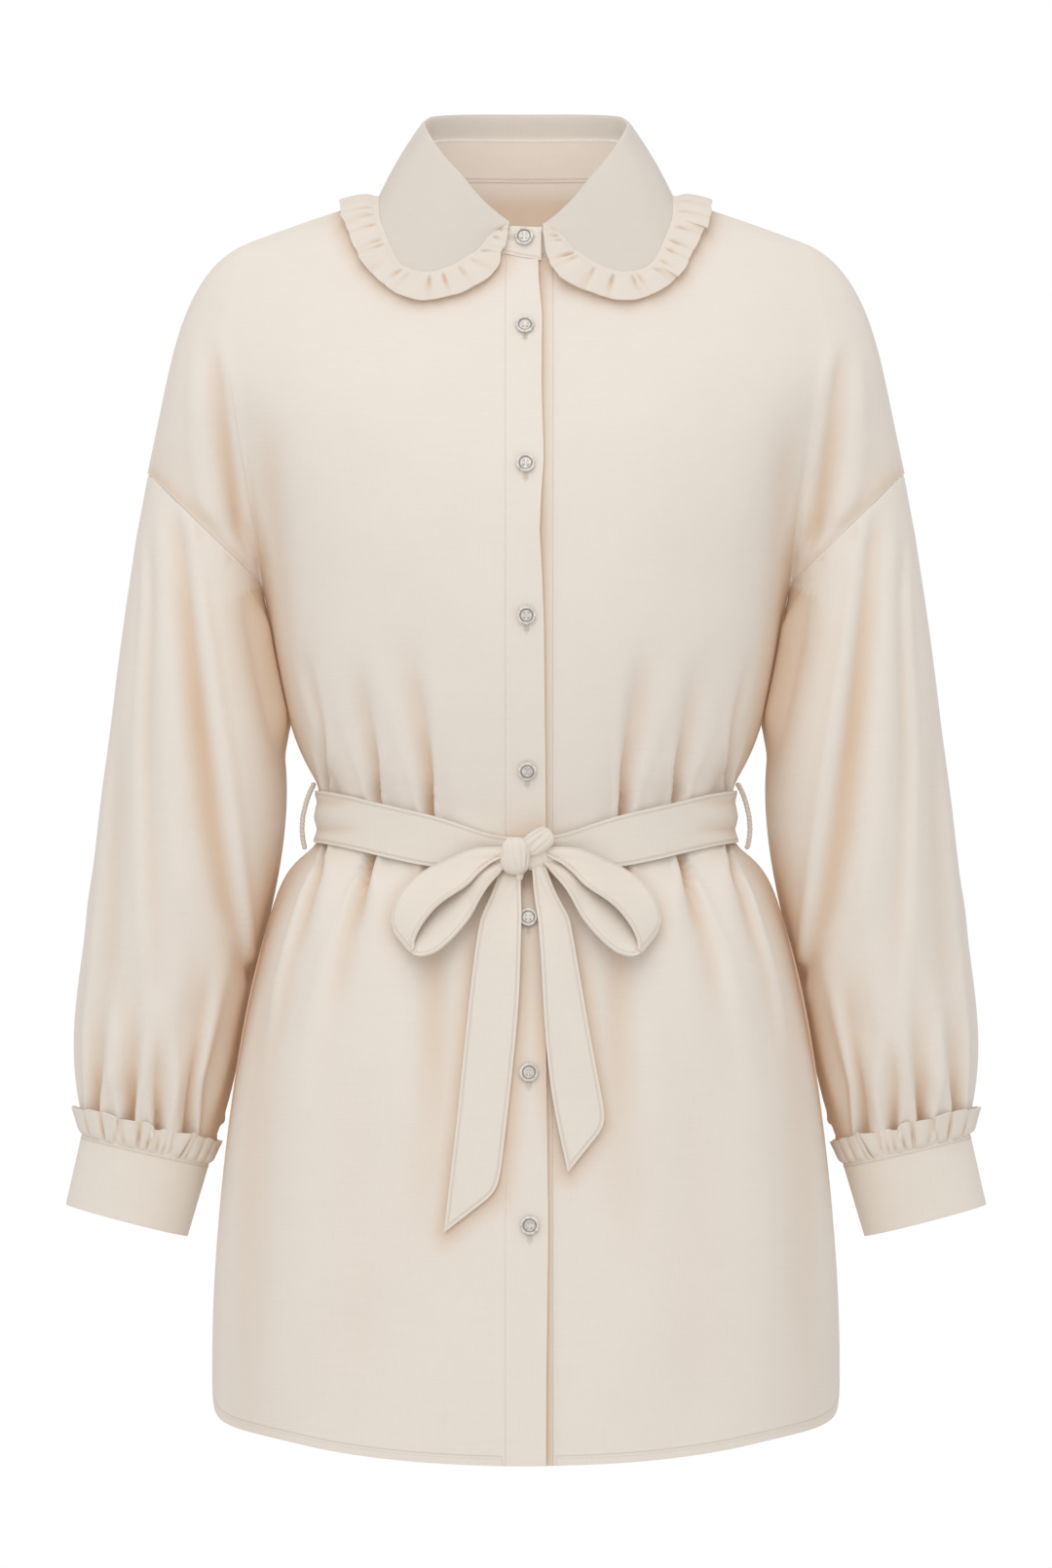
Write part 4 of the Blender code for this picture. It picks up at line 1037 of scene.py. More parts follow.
sheet = smooth_sheet("collar_fall", 3)
seam = edge_distance(sheet, beside("collar_frill", reach=3))
move_points(sheet, dipped(points_of(sheet)[0], POINT_PULL))
at_stand = beside("collar_stand")
grow_edge(sheet, lambda point, way: point.y > NECK_SIDE and at_stand(point, way), 1.5, 0.5)
finish_piece("collar_fall", sheet, collar_cloth, COLLAR_WALL, seam)

# %% [markdown]
# ## Frills
# A frill is a long strip gathered to about three quarters of its length. Each gather pinches the strip into a short
# crease at the seam, and between two gathers the cloth puffs up and swells a little at the free edge. Here and there
# it tips over its neighbour in a pleat. The strip is a grid between two lines, the seam and the free edge, which are
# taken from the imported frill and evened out. Gathers that show from the front are placed one by one, as a distance
# along the seam, a depth and a reach. The rest are scattered.

# %% Frill builder
Gather = namedtuple("Gather", "at depth reach rise")
Pleat = namedtuple("Pleat", "at slide lift width")
FRILL_TUCK, FRILL_SINK = 2.6, 0.6
SHOULDER_LIFT, SIDE_FLARE = 4.0, 1.2
HOLLOW_DEPTH, HOLLOW_SHADE = 1.7, 0.5
FRILL_WALL = 1.0


def evenly(points, count, closed=False):
    """The same line with evenly spaced points, and its length."""
    line, at = measured(points, closed)
    return read_off(line, at, np.linspace(0, at[-1], count, endpoint=not closed)), at[-1]


def evened(points, reach, closed=False):
    """Averages each point with its neighbours. The ends of an open line stay."""
    count = len(points)
    total = np.zeros_like(points)
    for step in range(-reach, reach + 1):
        at = np.arange(count) + step
        at = at % count if closed else np.clip(at, 0, count - 1)
        total += points[at]
    found = total / (2 * reach + 1)
    if not closed:
        ease = np.clip(np.minimum(np.arange(count), np.arange(count)[::-1]) / reach, 0, 1)[:, None]
        found = points * (1 - ease) + found * ease
    return found


def unit(vectors):
    return vectors / np.maximum(np.linalg.norm(vectors, axis=-1, keepdims=True), 1e-9)


class Strip:
    """The run of a gathered strip: its two edges, its directions, and the distance along its seam."""

    def __init__(self, seam_line, free_line, facing, closed):
        self.seam, self.span, self.closed = seam_line, free_line - seam_line, closed
        ahead = np.roll(seam_line, -1, axis=0) - np.roll(seam_line, 1, axis=0)
        if not closed:
            ahead[0], ahead[-1] = seam_line[1] - seam_line[0], seam_line[-1] - seam_line[-2]
        self.along = unit(ahead)
        normal = unit(np.cross(self.along, self.span))
        self.normal = normal * np.sign((normal * facing).sum(axis=1, keepdims=True))
        steps = np.linalg.norm(np.roll(seam_line, -1, axis=0) - seam_line, axis=1)
        self.at = np.concatenate([[0], np.cumsum(steps[:-1])])
        self.length = self.at[-1] + (steps[-1] if closed else 0)

    def off(self, place):
        found = self.at - place
        return (found + self.length / 2) % self.length - self.length / 2 if self.closed else found


def bulges(strip, gathers):
    """How far the cloth puffs up between two gathers, and how much its rim rises there."""
    gathers = sorted(gathers, key=lambda g: g.at)
    places, rises = [g.at for g in gathers], [g.rise for g in gathers]
    if strip.closed:
        places = [places[-1] - strip.length] + places + [places[0] + strip.length]
        rises = [rises[-1]] + rises + [rises[0]]
    else:
        places, rises = [0] + places + [strip.length], [0] + rises + [0]
    places, rises = np.array(places), np.array(rises)
    which = np.clip(np.searchsorted(places, strip.at) - 1, 0, len(places) - 2)
    gap = np.maximum(places[which + 1] - places[which], 1e-6)
    share = np.clip((strip.at - places[which]) / gap, 0, 1)
    swell = np.sin(np.pi * share) ** 0.5
    return swell * np.clip(gap / 9, 0.3, 1.2), swell * rises[which]


def frill_rows(strip, gathers, pleats, rows, puff, curl):
    """The places of each row of the strip, from under the seam to the free edge, and how far each stands out."""
    bulge, rise = bulges(strip, gathers)
    ways = unit(strip.span)
    sideways = strip.normal[:, 0] ** 2
    flare = curl * (1 - sideways) + SIDE_FLARE * sideways if strip.closed else curl
    lift = SHOULDER_LIFT * soft_step(0.45, 0.9, strip.normal[:, 2]) if not strip.closed else 0
    places = [strip.seam - ways * FRILL_TUCK - strip.normal * FRILL_SINK]
    heights = [np.zeros(len(strip.seam))]
    for out in np.linspace(0, 1, rows - 1):
        start = min(out / 0.25, 1) ** 0.6
        height = puff * bulge * start * (1 - 0.7 * out) + flare * out**2 + lift * out * (1.6 - 1.2 * out)
        slide, rim = np.zeros(len(strip.seam)), 1.5 * rise * out**2
        for gather in gathers:
            near = np.exp(-((strip.off(gather.at) / (0.6 + 1.1 * out)) ** 2))
            height = height - 1.1 * gather.depth * near * max(1 - out / gather.reach, 0) * start
            rim = rim - 0.2 * gather.depth * near * out**2
        for pleat in pleats:
            near = strip.off(pleat.at) / pleat.width
            slide = slide - pleat.slide * out * near * np.exp(-(near**2))
            over = 0.5 - 0.5 * np.tanh(2.4 * near * np.sign(pleat.slide))
            height = height + pleat.lift * out * over * np.exp(-((near / 2.6) ** 2))
            rim = rim + pleat.lift * out**2 * over * np.exp(-((near / 5) ** 2))
        places.append(
            strip.seam
            + strip.span * out
            + strip.along * slide[:, None]
            + strip.normal * height[:, None]
            + ways * rim[:, None]
        )
        heights.append(height)
    return places, heights


def frill_sheet(name, strip, gathers, pleats, rows, puff, curl):
    """A gathered strip of cloth, as a grid that is laid over its rows."""
    places, heights = frill_rows(strip, gathers, pleats, rows, puff, curl)
    around = [evened(height[:, None], 7, strip.closed)[:, 0] for height in heights]
    # painted shade: where the strip lies lower than its neighbours it takes the dark, warm fold tone
    tones = [np.clip((mean - height) / HOLLOW_DEPTH, 0, 1) * HOLLOW_SHADE for mean, height in zip(around, heights)]
    if strip.closed:
        places = [np.vstack([place, place[:1]]) for place in places]
        tones = [np.append(tone, tone[0]) for tone in tones]
    mesh = bmesh.new()
    bmesh.ops.create_grid(mesh, x_segments=len(places[0]) - 1, y_segments=rows - 1, size=1)
    layer = mesh.verts.layers.float.new("fold")
    for vert, place, tone in zip(mesh.verts, np.concatenate(places), np.concatenate(tones)):
        vert.co = Vector(place) * MM
        vert[layer] = tone
    if strip.closed:
        bmesh.ops.remove_doubles(mesh, verts=mesh.verts, dist=WELD)
    mesh.normal_update()
    tree = point_tree(strip.seam + strip.span / 2)
    facing = sum(f.normal.dot(strip.normal[tree.find(f.calc_center_median() / MM)[1]]) for f in mesh.faces)
    if facing < 0:
        bmesh.ops.reverse_faces(mesh, faces=mesh.faces)
    return mesh_data(name, mesh)


def cage_data(name):
    return mesh_data(name + "_lines", outer_face(name, sharp=FRILL_RIM_ANGLE))


def sew_frill(name, lines, seam_line, free_line, closed, *make):
    """Finishes a frill between two lines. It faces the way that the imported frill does."""
    tree = search_tree(lines)
    middles = (seam_line + free_line) / 2
    facing = np.array([tree.find_nearest(Vector(point) * MM)[1][:] for point in middles])
    sheet = frill_sheet(name, Strip(seam_line, free_line, facing, closed), *make)
    finish_piece(name, sheet, frill_cloth if closed else collar_frill_cloth, FRILL_WALL, hollow=True)


# %% [markdown]
# ### The collar's frill
# It starts at nothing at the collar's front points, widens round the curve and goes on behind the neck. Most gathers
# are short pinches, and a few pleats on each side lie flat over the next stretch.

# %% Collar frill
RIGHT_GATHERS = (
    (7, 1.5, 0.6, 0), (12.6, 1.9, 0.6, 0), (24.6, 1.4, 0.5, 0.3), (33, 0.9, 0.4, 0.2), (41.4, 1.7, 0.6, 0),
    (51.6, 2.3, 0.8, 0), (59.4, 2.1, 0.7, 0.4), (72, 1.3, 0.5, 0), (77, 2.0, 0.7, 0.5), (99, 1.5, 0.6, 0),
    (103, 1.6, 0.6, 0.4), (115, 1.4, 0.6, 0.3),
)
LEFT_GATHERS = (
    (12, 1.7, 0.6, 0.2), (15.5, 1.5, 0.5, 0), (26, 2.3, 0.8, 0), (30, 1.6, 0.6, 0.3), (42, 1.4, 0.5, 0),
    (54, 2.2, 0.8, 0), (65, 2.1, 0.7, 0.4), (68.5, 1.6, 0.6, 0), (79, 1.6, 0.6, 0.4), (86, 1.3, 0.5, 0),
    (95, 1.6, 0.6, 0.4), (102, 1.5, 0.6, 0), (113, 1.4, 0.6, 0.3),
)
RIGHT_PLEATS = (Pleat(91, -9, 2.6, 3.2), Pleat(124, -6, 1.6, 2.6))
LEFT_PLEATS = (Pleat(39, 8.5, 2.4, 3.2), Pleat(82, -6, 1.8, 2.8), Pleat(118, -6, 1.6, 2.6))
COLLAR_COLUMNS, COLLAR_ROWS = 860, 12
COLLAR_PUFF, COLLAR_CURL = 1.7, 0.6
spread = np.random.default_rng(7)

lines = cage_data("collar_frill")
at_collar = beside("collar_fall", reach=2.0, turned=-2)


def edge_line(chosen, count, reach):
    """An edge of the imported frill, evened out, from the wearer's right front point to the left one."""
    line = evenly(edge_runs(lines, chosen)[0][0] / MM, count)[0]
    line = line[::-1].copy() if line[0, 0] > 0 else line
    return evened(dipped(line, POINT_PULL), reach)


seam_line, free_line = edge_line(at_collar, COLLAR_COLUMNS, 6), edge_line(unless(at_collar), 4 * COLLAR_COLUMNS, 40)
nearest = np.array([np.argmin(((free_line - point) ** 2).sum(axis=1)) for point in seam_line], float)
nearest = np.maximum.accumulate(nearest)
nearest[0], nearest[-1] = 0, len(free_line) - 1
nearest = evened(nearest[:, None], 9)[:, 0]
free_line = read_off(free_line, np.arange(len(free_line)), nearest)
seam_length = evenly(seam_line, 10)[1]
print("collar seam", round(seam_length), "mm")

gathers_at = [Gather(*g) for g in RIGHT_GATHERS] + [Gather(seam_length - g[0], *g[1:]) for g in LEFT_GATHERS]


def scattered(start, end, nearest, furthest):
    """Uneven gathers over a stretch of seam that has none listed."""
    found, place = [], start
    while place < end:
        found.append(Gather(place, spread.uniform(1.2, 2.2), spread.uniform(0.3, 0.65), spread.uniform(0, 0.8)))
        place += spread.uniform(nearest, furthest)
    return found


gathers_at += scattered(124, seam_length - 122, 5, 12)
pleats_at = list(RIGHT_PLEATS) + [Pleat(seam_length - p.at, -p.slide, p.lift, p.width) for p in LEFT_PLEATS]
shape = gathers_at, pleats_at, COLLAR_ROWS, COLLAR_PUFF, COLLAR_CURL
sew_frill("collar_frill", lines, seam_line, free_line, False, *shape)

# %% [markdown]
# ### The cuffs' frills
# Each stands up round the end of its sleeve. Seen from the front it has a few strong gathers and three places where
# its rim jumps back under itself.

# %% Cuff frills
CUFF_COLUMNS, CUFF_ROWS = 340, 11
CUFF_PUFF, CUFF_CURL = 2.2, -1.4
CUFF_FRILL_SHARE = (0.95, 0.76, 0.66)  # the rim stands highest on the outer side of the arm
CUFF_GATHERS = (
    (-1.12, 1.6, 0.8, 0.8), (-0.80, 3.0, 1.3, 0.6), (-0.60, 1.4, 0.5, 0), (-0.40, 1.2, 0.4, 0.6),
    (-0.12, 3.4, 1.5, 1.2), (0.05, 2.2, 1.0, -0.6), (0.27, 1.8, 0.7, 0.8), (0.40, 1.8, 0.6, 0.4),
    (0.55, 1.4, 0.5, 0), (0.74, 2.8, 1.2, 0.8), (0.86, 1.5, 0.5, 0), (1.06, 1.8, 0.7, 0.6),
)
CUFF_PLEATS = ((-0.52, 8, 2.4, 3.0), (0.62, -8, 2.6, 3.0), (0.12, 5, 1.8, 2.4))
for side, word in ((-1, "right"), (1, "left")):
    name = "cuff_frill_" + word
    lines = cage_data(name)
    runs = sorted(edge_runs(lines), key=lambda run: run[0][:, 2].mean())
    rings = []
    for points, _, _ in runs:
        points = points / MM
        middle = points.mean(axis=0)
        angle = np.arctan2(-side * (points[:, 0] - middle[0]), -(points[:, 1] - middle[1]))  # grows towards the body
        order = np.argsort(angle)
        spaced = np.linspace(-np.pi, np.pi, CUFF_COLUMNS, endpoint=False)
        ring = [np.interp(spaced, angle[order], points[order, a], period=2 * np.pi) for a in range(3)]
        rings.append(evened(np.stack(ring, axis=1), 7, True))
    seam_line, free_line = rings
    inwards = -side * seam_line[:, 0]
    inwards = (inwards - inwards.min()) / (inwards.max() - inwards.min())
    share = np.interp(inwards, (0, 0.5, 1), CUFF_FRILL_SHARE)
    free_line = seam_line + (free_line - seam_line) * share[:, None]
    length = evenly(seam_line, 10, True)[1]
    at = measured(seam_line)[1]

    def seam_place(angle):
        """The distance along the seam at an angle from the front, towards the body."""
        return float(np.interp(angle, spaced, at))

    gathers_at = [Gather(seam_place(g[0]), *g[1:]) for g in CUFF_GATHERS]
    gathers_at += scattered(3, seam_place(-1.3), 6, 12) + scattered(seam_place(1.25), length - 3, 6, 12)
    pleats_at = [Pleat(seam_place(p[0]), *p[1:]) for p in CUFF_PLEATS]
    sew_frill(name, lines, seam_line, free_line, True, gathers_at, pleats_at, CUFF_ROWS, CUFF_PUFF, CUFF_CURL)

# %% [markdown]
# ## Belt, bow loops and tails
# The belt is a doubled strip, edge-stitched all round. Where it is drawn into the knot it creases towards the
# knot's middle, and at the side seams it crinkles. The tails and loops lie over the skirt, so each is moved forward
# wherever the skirt's folds would come through it.

# %% Belt
STRIP_WALL, BELT_WALL = 1.6, 1.8
OVER_GAP, RAY_START, EASE_TIMES = 0.8, -400, 30
Draw = namedtuple("Draw", "near far narrower middle further deeper")
LOOP_DRAW = Draw(17, 36, 0.45, -403.5, 7.0, 0.5)  # measured sideways from the middle, and drawn to a level
TAIL_DRAW = {
    "belt_tail_right": Draw(418, 446, 0.35, -8.0, 9.0, 2.0),
    "belt_tail_left": Draw(418, 446, 0.45, 4.0, 11.0, 1.0),
}
BELT_STITCH = 2.0
KNOT_MIDDLE = Vector((0.0, -105.0, -405.0))
BAND_LEVELS = 3
Band = namedtuple("Band", "name wall creases drawn")
BANDS = (
    Band("belt_band", BELT_WALL, ((172, 5, 1.0), (180, 4, 0.8), (8, 5, 1.0), (0, 4, 0.8)), None),
    Band("bow_loop_right", STRIP_WALL, ((186, 4, 1.2), (197, 5, 1.5), (212, 4, 1.0)), "loop"),
    Band("bow_loop_left", STRIP_WALL, ((-6, 4, 1.2), (-17, 5, 1.5), (-32, 4, 1.0)), "loop"),
    Band("belt_tail_right", STRIP_WALL, ((252, 5, 1.2), (240, 4, 0.8)), "tail"),
    Band("belt_tail_left", STRIP_WALL, ((-74, 5, 1.4), (-62, 4, 1.0)), "tail"),
)
CREASE_REACH, CREASE_START = 26.0, (11, 20)
CRINKLE_ACROSS = (96, 122)
CREASE_SHADE_DEPTH = 4
CRINKLES = ((-374, 2.6, 1.0), (-383, 3.0, -0.8), (-391, 2.6, 1.1), (-399, 3.0, -0.8))


def knot_creases(points, creases):
    """Creases that run out from the knot at set angles, seen from the front."""
    x, z = points[:, 0] - KNOT_MIDDLE.x, points[:, 2] - KNOT_MIDDLE.z
    away, angle = np.hypot(x, z), np.degrees(np.arctan2(z, x))
    total = np.zeros(len(points))
    for at, width, depth in creases:
        off = (angle - at + 180) % 360 - 180
        total += depth * np.exp(-((off / width) ** 2))
    return total * np.exp(-((away / CREASE_REACH) ** 2)) * soft_step(*CREASE_START, away)


def drawn_in(points, name, drawn):
    """A loop's or tail's end is narrowed, and drawn further into the knot."""
    draw = LOOP_DRAW if drawn == "loop" else TAIL_DRAW[name]
    lengthwise, across = (0, 2) if drawn == "loop" else (2, 0)
    from_knot = np.abs(points[:, lengthwise])
    near = 1 - soft_step(draw.near, draw.far, from_knot)
    moved = points.copy()
    moved[:, across] += (draw.middle - points[:, across]) * draw.narrower * near
    way = -np.sign(points[:, lengthwise])
    moved[:, lengthwise] += way * draw.further * near**2
    moved[:, 1] += draw.deeper * near**3
    return moved


def side_crinkles(points):
    """Short level waves where the belt bends round the side."""
    near = soft_step(*CRINKLE_ACROSS, np.abs(points[:, 0]))
    waves = sum(depth * np.exp(-(((points[:, 2] - z) / width) ** 2)) for z, width, depth in CRINKLES)
    return near * waves


def laid_over(data, tree, wall):
    """Moves a strip forward, smoothly, so that its back clears what lies under it."""
    points, _ = points_of(data)
    need = np.zeros(len(points))
    for i, point in enumerate(points):
        start = Vector((point[0], RAY_START, point[2])) * MM
        found = tree.ray_cast(start, Vector((0, 1, 0)), -RAY_START * MM)[0]
        if found is not None:
            need[i] = max(point[1] - (found.y / MM - wall - OVER_GAP), 0)
    ends = np.empty(len(data.edges) * 2, np.int32)
    data.edges.foreach_get("vertices", ends)
    a, b = ends.reshape(-1, 2).T
    shift = need.copy()
    for _ in range(EASE_TIMES):
        total, times = shift.copy(), np.ones(len(shift))
        for here, there in ((a, b), (b, a)):
            np.add.at(total, here, shift[there])
            np.add.at(times, here, 1)
        shift = np.maximum(total / times, need * 0.9)
    points[:, 1] -= shift
    move_points(data, points)


under = search_tree(*(pieces[name].data for name in ("front_right", "front_left", "placket", "button_band")))
for band in BANDS:
    sheet = smooth_sheet(band.name, BAND_LEVELS, band.drawn == "tail")
    points, normals = points_of(sheet)
    points = drawn_in(points, band.name, band.drawn) if band.drawn else points
    depth = knot_creases(points, band.creases)
    depth = depth if band.drawn else depth + side_crinkles(points)
    move_points(sheet, points - normals * depth[:, None])
    if band.drawn:
        laid_over(sheet, under, band.wall)
    seam = edge_distance(sheet, anywhere)
    stitch_edge("belt_stitches", sheet, anywhere, BELT_STITCH)
    # painted shade: the creases' depth tones the belt, loops and tails darker and warmer
    finish_piece(band.name, sheet, belt_cloth, band.wall, seam, seam, np.clip(depth / CREASE_SHADE_DEPTH, 0, 1))

# %% [markdown]
# ## The knot
# The belt's two ends cross in a flat knot. From the front it shows two rounded turns of cloth side by side, a third
# that comes out below, and a small nub where an edge is pinched. Each turn is a sphere that is squared off a little,
# stretched, tilted, and grooved from end to end, because the strip is crushed lengthwise.

# %% Knot
Turn = namedtuple("Turn", "middle radii tilt grooves edge_at")
KNOT_TURNS = (
    Turn((-6.4, -103.6, -406.6), (9.0, 8.4, 11.4), 3, ((-30, 9, 0.3), (-4, 6, 0.5), (19, 5, 0.7), (44, 7, 0.5)), 62),
    Turn((7.2, -101.8, -397.9), (7.2, 7.2, 10.2), 56, ((-34, 6, 0.5), (-6, 5, 0.8), (22, 6, 0.6)), -58),
    Turn((5.2, -98.4, -406.6), (8.4, 5.6, 8.6), -20, ((-12, 8, 0.5), (18, 7, 0.6)), 70),
    Turn((-3.8, -103.6, -417.6), (2.4, 2.8, 4.2), 8, ((-10, 14, 0.4),), 80),
)
SQUARED = 0.72


def add_turn(mesh, turn, fold, edge):
    made = bmesh.ops.create_uvsphere(mesh, u_segments=96, v_segments=48, radius=1)["verts"]
    tilt = Matrix.Rotation(math.radians(turn.tilt), 3, "Y")
    for vert in made:
        place = vert.co.copy()
        angle = math.degrees(math.atan2(place.x, -place.y))
        open_part = max(1 - abs(place.z) ** 5, 0)
        depth = sum(d * math.exp(-(((angle + 14 * place.z - at) / width) ** 2)) for at, width, d in turn.grooves)
        # painted shade: the grooves' depth tones the knot darker and warmer
        vert[fold] = min(depth * open_part * 0.2, 0.4)
        vert[edge] = abs(math.radians(angle - turn.edge_at)) * turn.radii[0] + 2.0 * (1 - open_part)
        shaped = Vector(math.copysign(abs(c) ** SQUARED, c) * r for c, r in zip(place, turn.radii))
        shaped -= Vector((place.x, place.y, 0)) * depth * open_part
        vert.co = (tilt @ shaped + Vector(turn.middle)) * MM


mesh = bmesh.new()
fold_layer = mesh.verts.layers.float.new("fold")
edge_layer = mesh.verts.layers.float.new("edge")
for turn in KNOT_TURNS:
    add_turn(mesh, turn, fold_layer, edge_layer)
bmesh.ops.recalc_face_normals(mesh, faces=mesh.faces)
knot_data = mesh_data("belt_knot_cloth", mesh)
edge_values = np.empty(len(knot_data.vertices), np.float32)
knot_data.attributes["edge"].data.foreach_get("value", edge_values)
knot_data.attributes.remove(knot_data.attributes["edge"])
finish_piece("belt_knot", knot_data, belt_cloth, 0, None, edge_values)

# %% [markdown]
# ## Buttons
# A shirt button is turned from shell: a flat back, a raised round rim, and a shallow well with four holes. The
# outside is a profile that is spun about the axis, each hole is a short open tube, and the well's floor is filled
# between the tubes. Two runs of thread cross the floor from hole to hole. Shade is painted into the shell: it is
# made dark in the corner round the well, down the holes and at the foot of its side, where shade falls, so each
# corner of the mesh keeps how much painted shade it takes.

# %% Button material
# painted shade: the dark colour that is mixed into the shell
SHELL_SHADE_COLOUR = (0.20, 0.175, 0.15, 1)
SHELL_LOW, SHELL_HIGH = (0.60, 0.56, 0.50, 1), (0.95, 0.91, 0.85, 1)


def ramped(tree, value, *stops):
    """A value turned into a colour between two stops, each a place and a colour."""
    ramp = node(tree, "ShaderNodeValToRGB", {"Fac": value})
    for element, (place, colour) in zip(ramp.color_ramp.elements, stops):
        element.position, element.color = place, colour
    return ramp.outputs["Color"]


def shell_material():
    made, tree, shader = new_material("shell")
    where = object_place(tree)
    swirl, grain = noise(tree, where, 260.0, 4.0, Distortion=1.6), noise(tree, where, 900.0, 2.0)
    # painted shade: the shell is mixed towards a dark colour by its shade attribute
    shade_share = node(tree, "ShaderNodeAttribute", attribute_name="groove").outputs["Fac"]
    rough = node(tree, "ShaderNodeMapRange", {"Value": grain, "To Min": 0.10, "To Max": 0.24})
    fill(shader, {
        "Base Color": mixed(tree, shade_share, ramped(tree, swirl, (0.36, SHELL_LOW), (0.66, SHELL_HIGH)), SHELL_SHADE_COLOUR),
        "Roughness": rough.outputs["Result"],
        "Normal": bump(tree, swirl, 0.00008),
        "Coat Weight": 0.8,
        "Coat Roughness": 0.05,
    })
    return made


def thread_material(name, colour):
    """Two-ply thread: fine slanting ridges, with painted shade between them."""
    made, tree, shader = new_material(name)
    values = {"Vector": object_place(tree), "Scale": 900.0, "Distortion": 0.6}
    ply = node(tree, "ShaderNodeTexWave", values, bands_direction="DIAGONAL").outputs["Fac"]
    stops = (0, (*(c * 0.88 for c in colour), 1)), (1, (*colour, 1))
    fill(shader, {"Base Color": ramped(tree, ply, *stops), "Normal": bump(tree, ply, 0.00003), "Roughness": 0.6})
    return made


shell, thread = shell_material(), thread_material("thread", (0.86, 0.775, 0.68))
print("shell and thread")

# %% Button shape
SMALL_SHARP, WELL_FLOOR = 40, 1.35
BUTTON_PROFILE = (  # radius and height above the button's back
    (2.95, WELL_FLOOR), (3.55, WELL_FLOOR), (3.8, 1.42), (4.05, 1.75), (4.4, 2.1), (4.85, 2.2), (5.3, 2.05),
    (5.62, 1.65), (5.72, 1.15), (5.6, 0.6), (5.2, 0.2), (4.6, 0.0),
)
HOLE_RADIUS, HOLE_PLACE = 0.72, 1.25
THREAD_RADIUS = 0.34
WELL_CORNER, CORNER_WIDTH, SIDE = 3.75, 0.42, 5.55


def button_mesh():
    """A button that faces up, with its back on the floor, in millimetres."""
    mesh = bmesh.new()
    verts = [mesh.verts.new((radius, 0, height)) for radius, height in BUTTON_PROFILE]
    edges = [mesh.edges.new(pair) for pair in zip(verts, verts[1:])]
    bmesh.ops.spin(
        mesh, geom=verts + edges, axis=(0, 0, 1), cent=(0, 0, 0), angle=2 * math.pi, steps=48, use_merge=True
    )
    top, bottom = BUTTON_PROFILE[0][1], 0.0
    for x in (-HOLE_PLACE, HOLE_PLACE):
        for y in (-HOLE_PLACE, HOLE_PLACE):
            add_rod(mesh, 14, HOLE_RADIUS, top, Matrix.Translation((x, y, top / 2)), False)
    for height, way in ((top, 1), (bottom, -1)):
        rings = [e for e in mesh.edges if e.is_boundary and all(abs(v.co.z - height) < 0.01 for v in e.verts)]
        bmesh.ops.triangle_fill(mesh, use_beauty=True, edges=rings, normal=(0, 0, way))
    bmesh.ops.recalc_face_normals(mesh, faces=mesh.faces)
    groove = mesh.verts.layers.float.new("groove")
    # painted shade: dark in the corner round the well, down the holes and at the foot of the side, faint elsewhere
    for vert in mesh.verts:
        radius = math.hypot(vert.co.x, vert.co.y)
        off = (radius - WELL_CORNER) / CORNER_WIDTH
        vert[groove] = 0.95 * math.exp(-off * off) + (0.9 if radius < WELL_CORNER and vert.co.z < 1 else 0.06)
        vert[groove] += 0.5 if radius > SIDE and vert.co.z < 1.5 else 0
    return mesh


def thread_mesh():
    """Two runs of thread over the well, and their ends down the holes."""
    mesh = bmesh.new()
    level, lying = WELL_FLOOR + THREAD_RADIUS * 0.8, Matrix.Rotation(math.pi / 2, 4, "X")
    for x in (-HOLE_PLACE, HOLE_PLACE):
        for shift in (-0.24, 0.24):
            place = Matrix.Translation((x + shift, 0, level)) @ lying
            add_rod(mesh, 10, THREAD_RADIUS, 2 * HOLE_PLACE + 0.5, place)
        for y in (-HOLE_PLACE, HOLE_PLACE):
            add_rod(mesh, 12, 0.5, 1.4, Matrix.Translation((x, y, 0.3)))
    bmesh.ops.recalc_face_normals(mesh, faces=mesh.faces)
    return mesh


def seat_of(name):
    """Where a packed button sits: the middle of its back, and the frame it lies in."""
    points = np.array([vert.co[:] for vert in nodes[name].data.vertices]) / MM
    middle = points.mean(axis=0)
    out = np.linalg.svd(points - middle)[2][2]
    out = out if out[1] < 0 else -out
    back = ((points - middle) @ out).min()
    front = Vector(out)
    side = Vector((1, 0, 0)) - front * front.x
    side.normalize()
    return Matrix.Translation(Vector(middle + out * back)) @ axes_turn(side, front.cross(side), front)


def place_mesh(name, mesh, seat, material):
    bmesh.ops.transform(mesh, matrix=Matrix.Scale(MM, 4) @ seat, verts=mesh.verts)
    return shown(name, mesh_data(name, mesh), material, SMALL_SHARP)


seats = {}
for i in range(1, 9):
    name = f"button_{i}"
    seats[i] = seat_of(name)
    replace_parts(place_mesh(name + "_shell", button_mesh(), seats[i], shell), name)
    place_mesh(name + "_thread", thread_mesh(), seats[i], thread)
print(len(seats), "buttons, the first at", [round(c, 1) for c in seats[1].translation])

# %% [markdown]
# ## Buttonholes
# Each is a slit with a dense row of satin stitches on both sides and a bar at each end. It is longer than the button
# is wide, and the button sits near its upper end, so some of it shows below. On the stand it lies level.

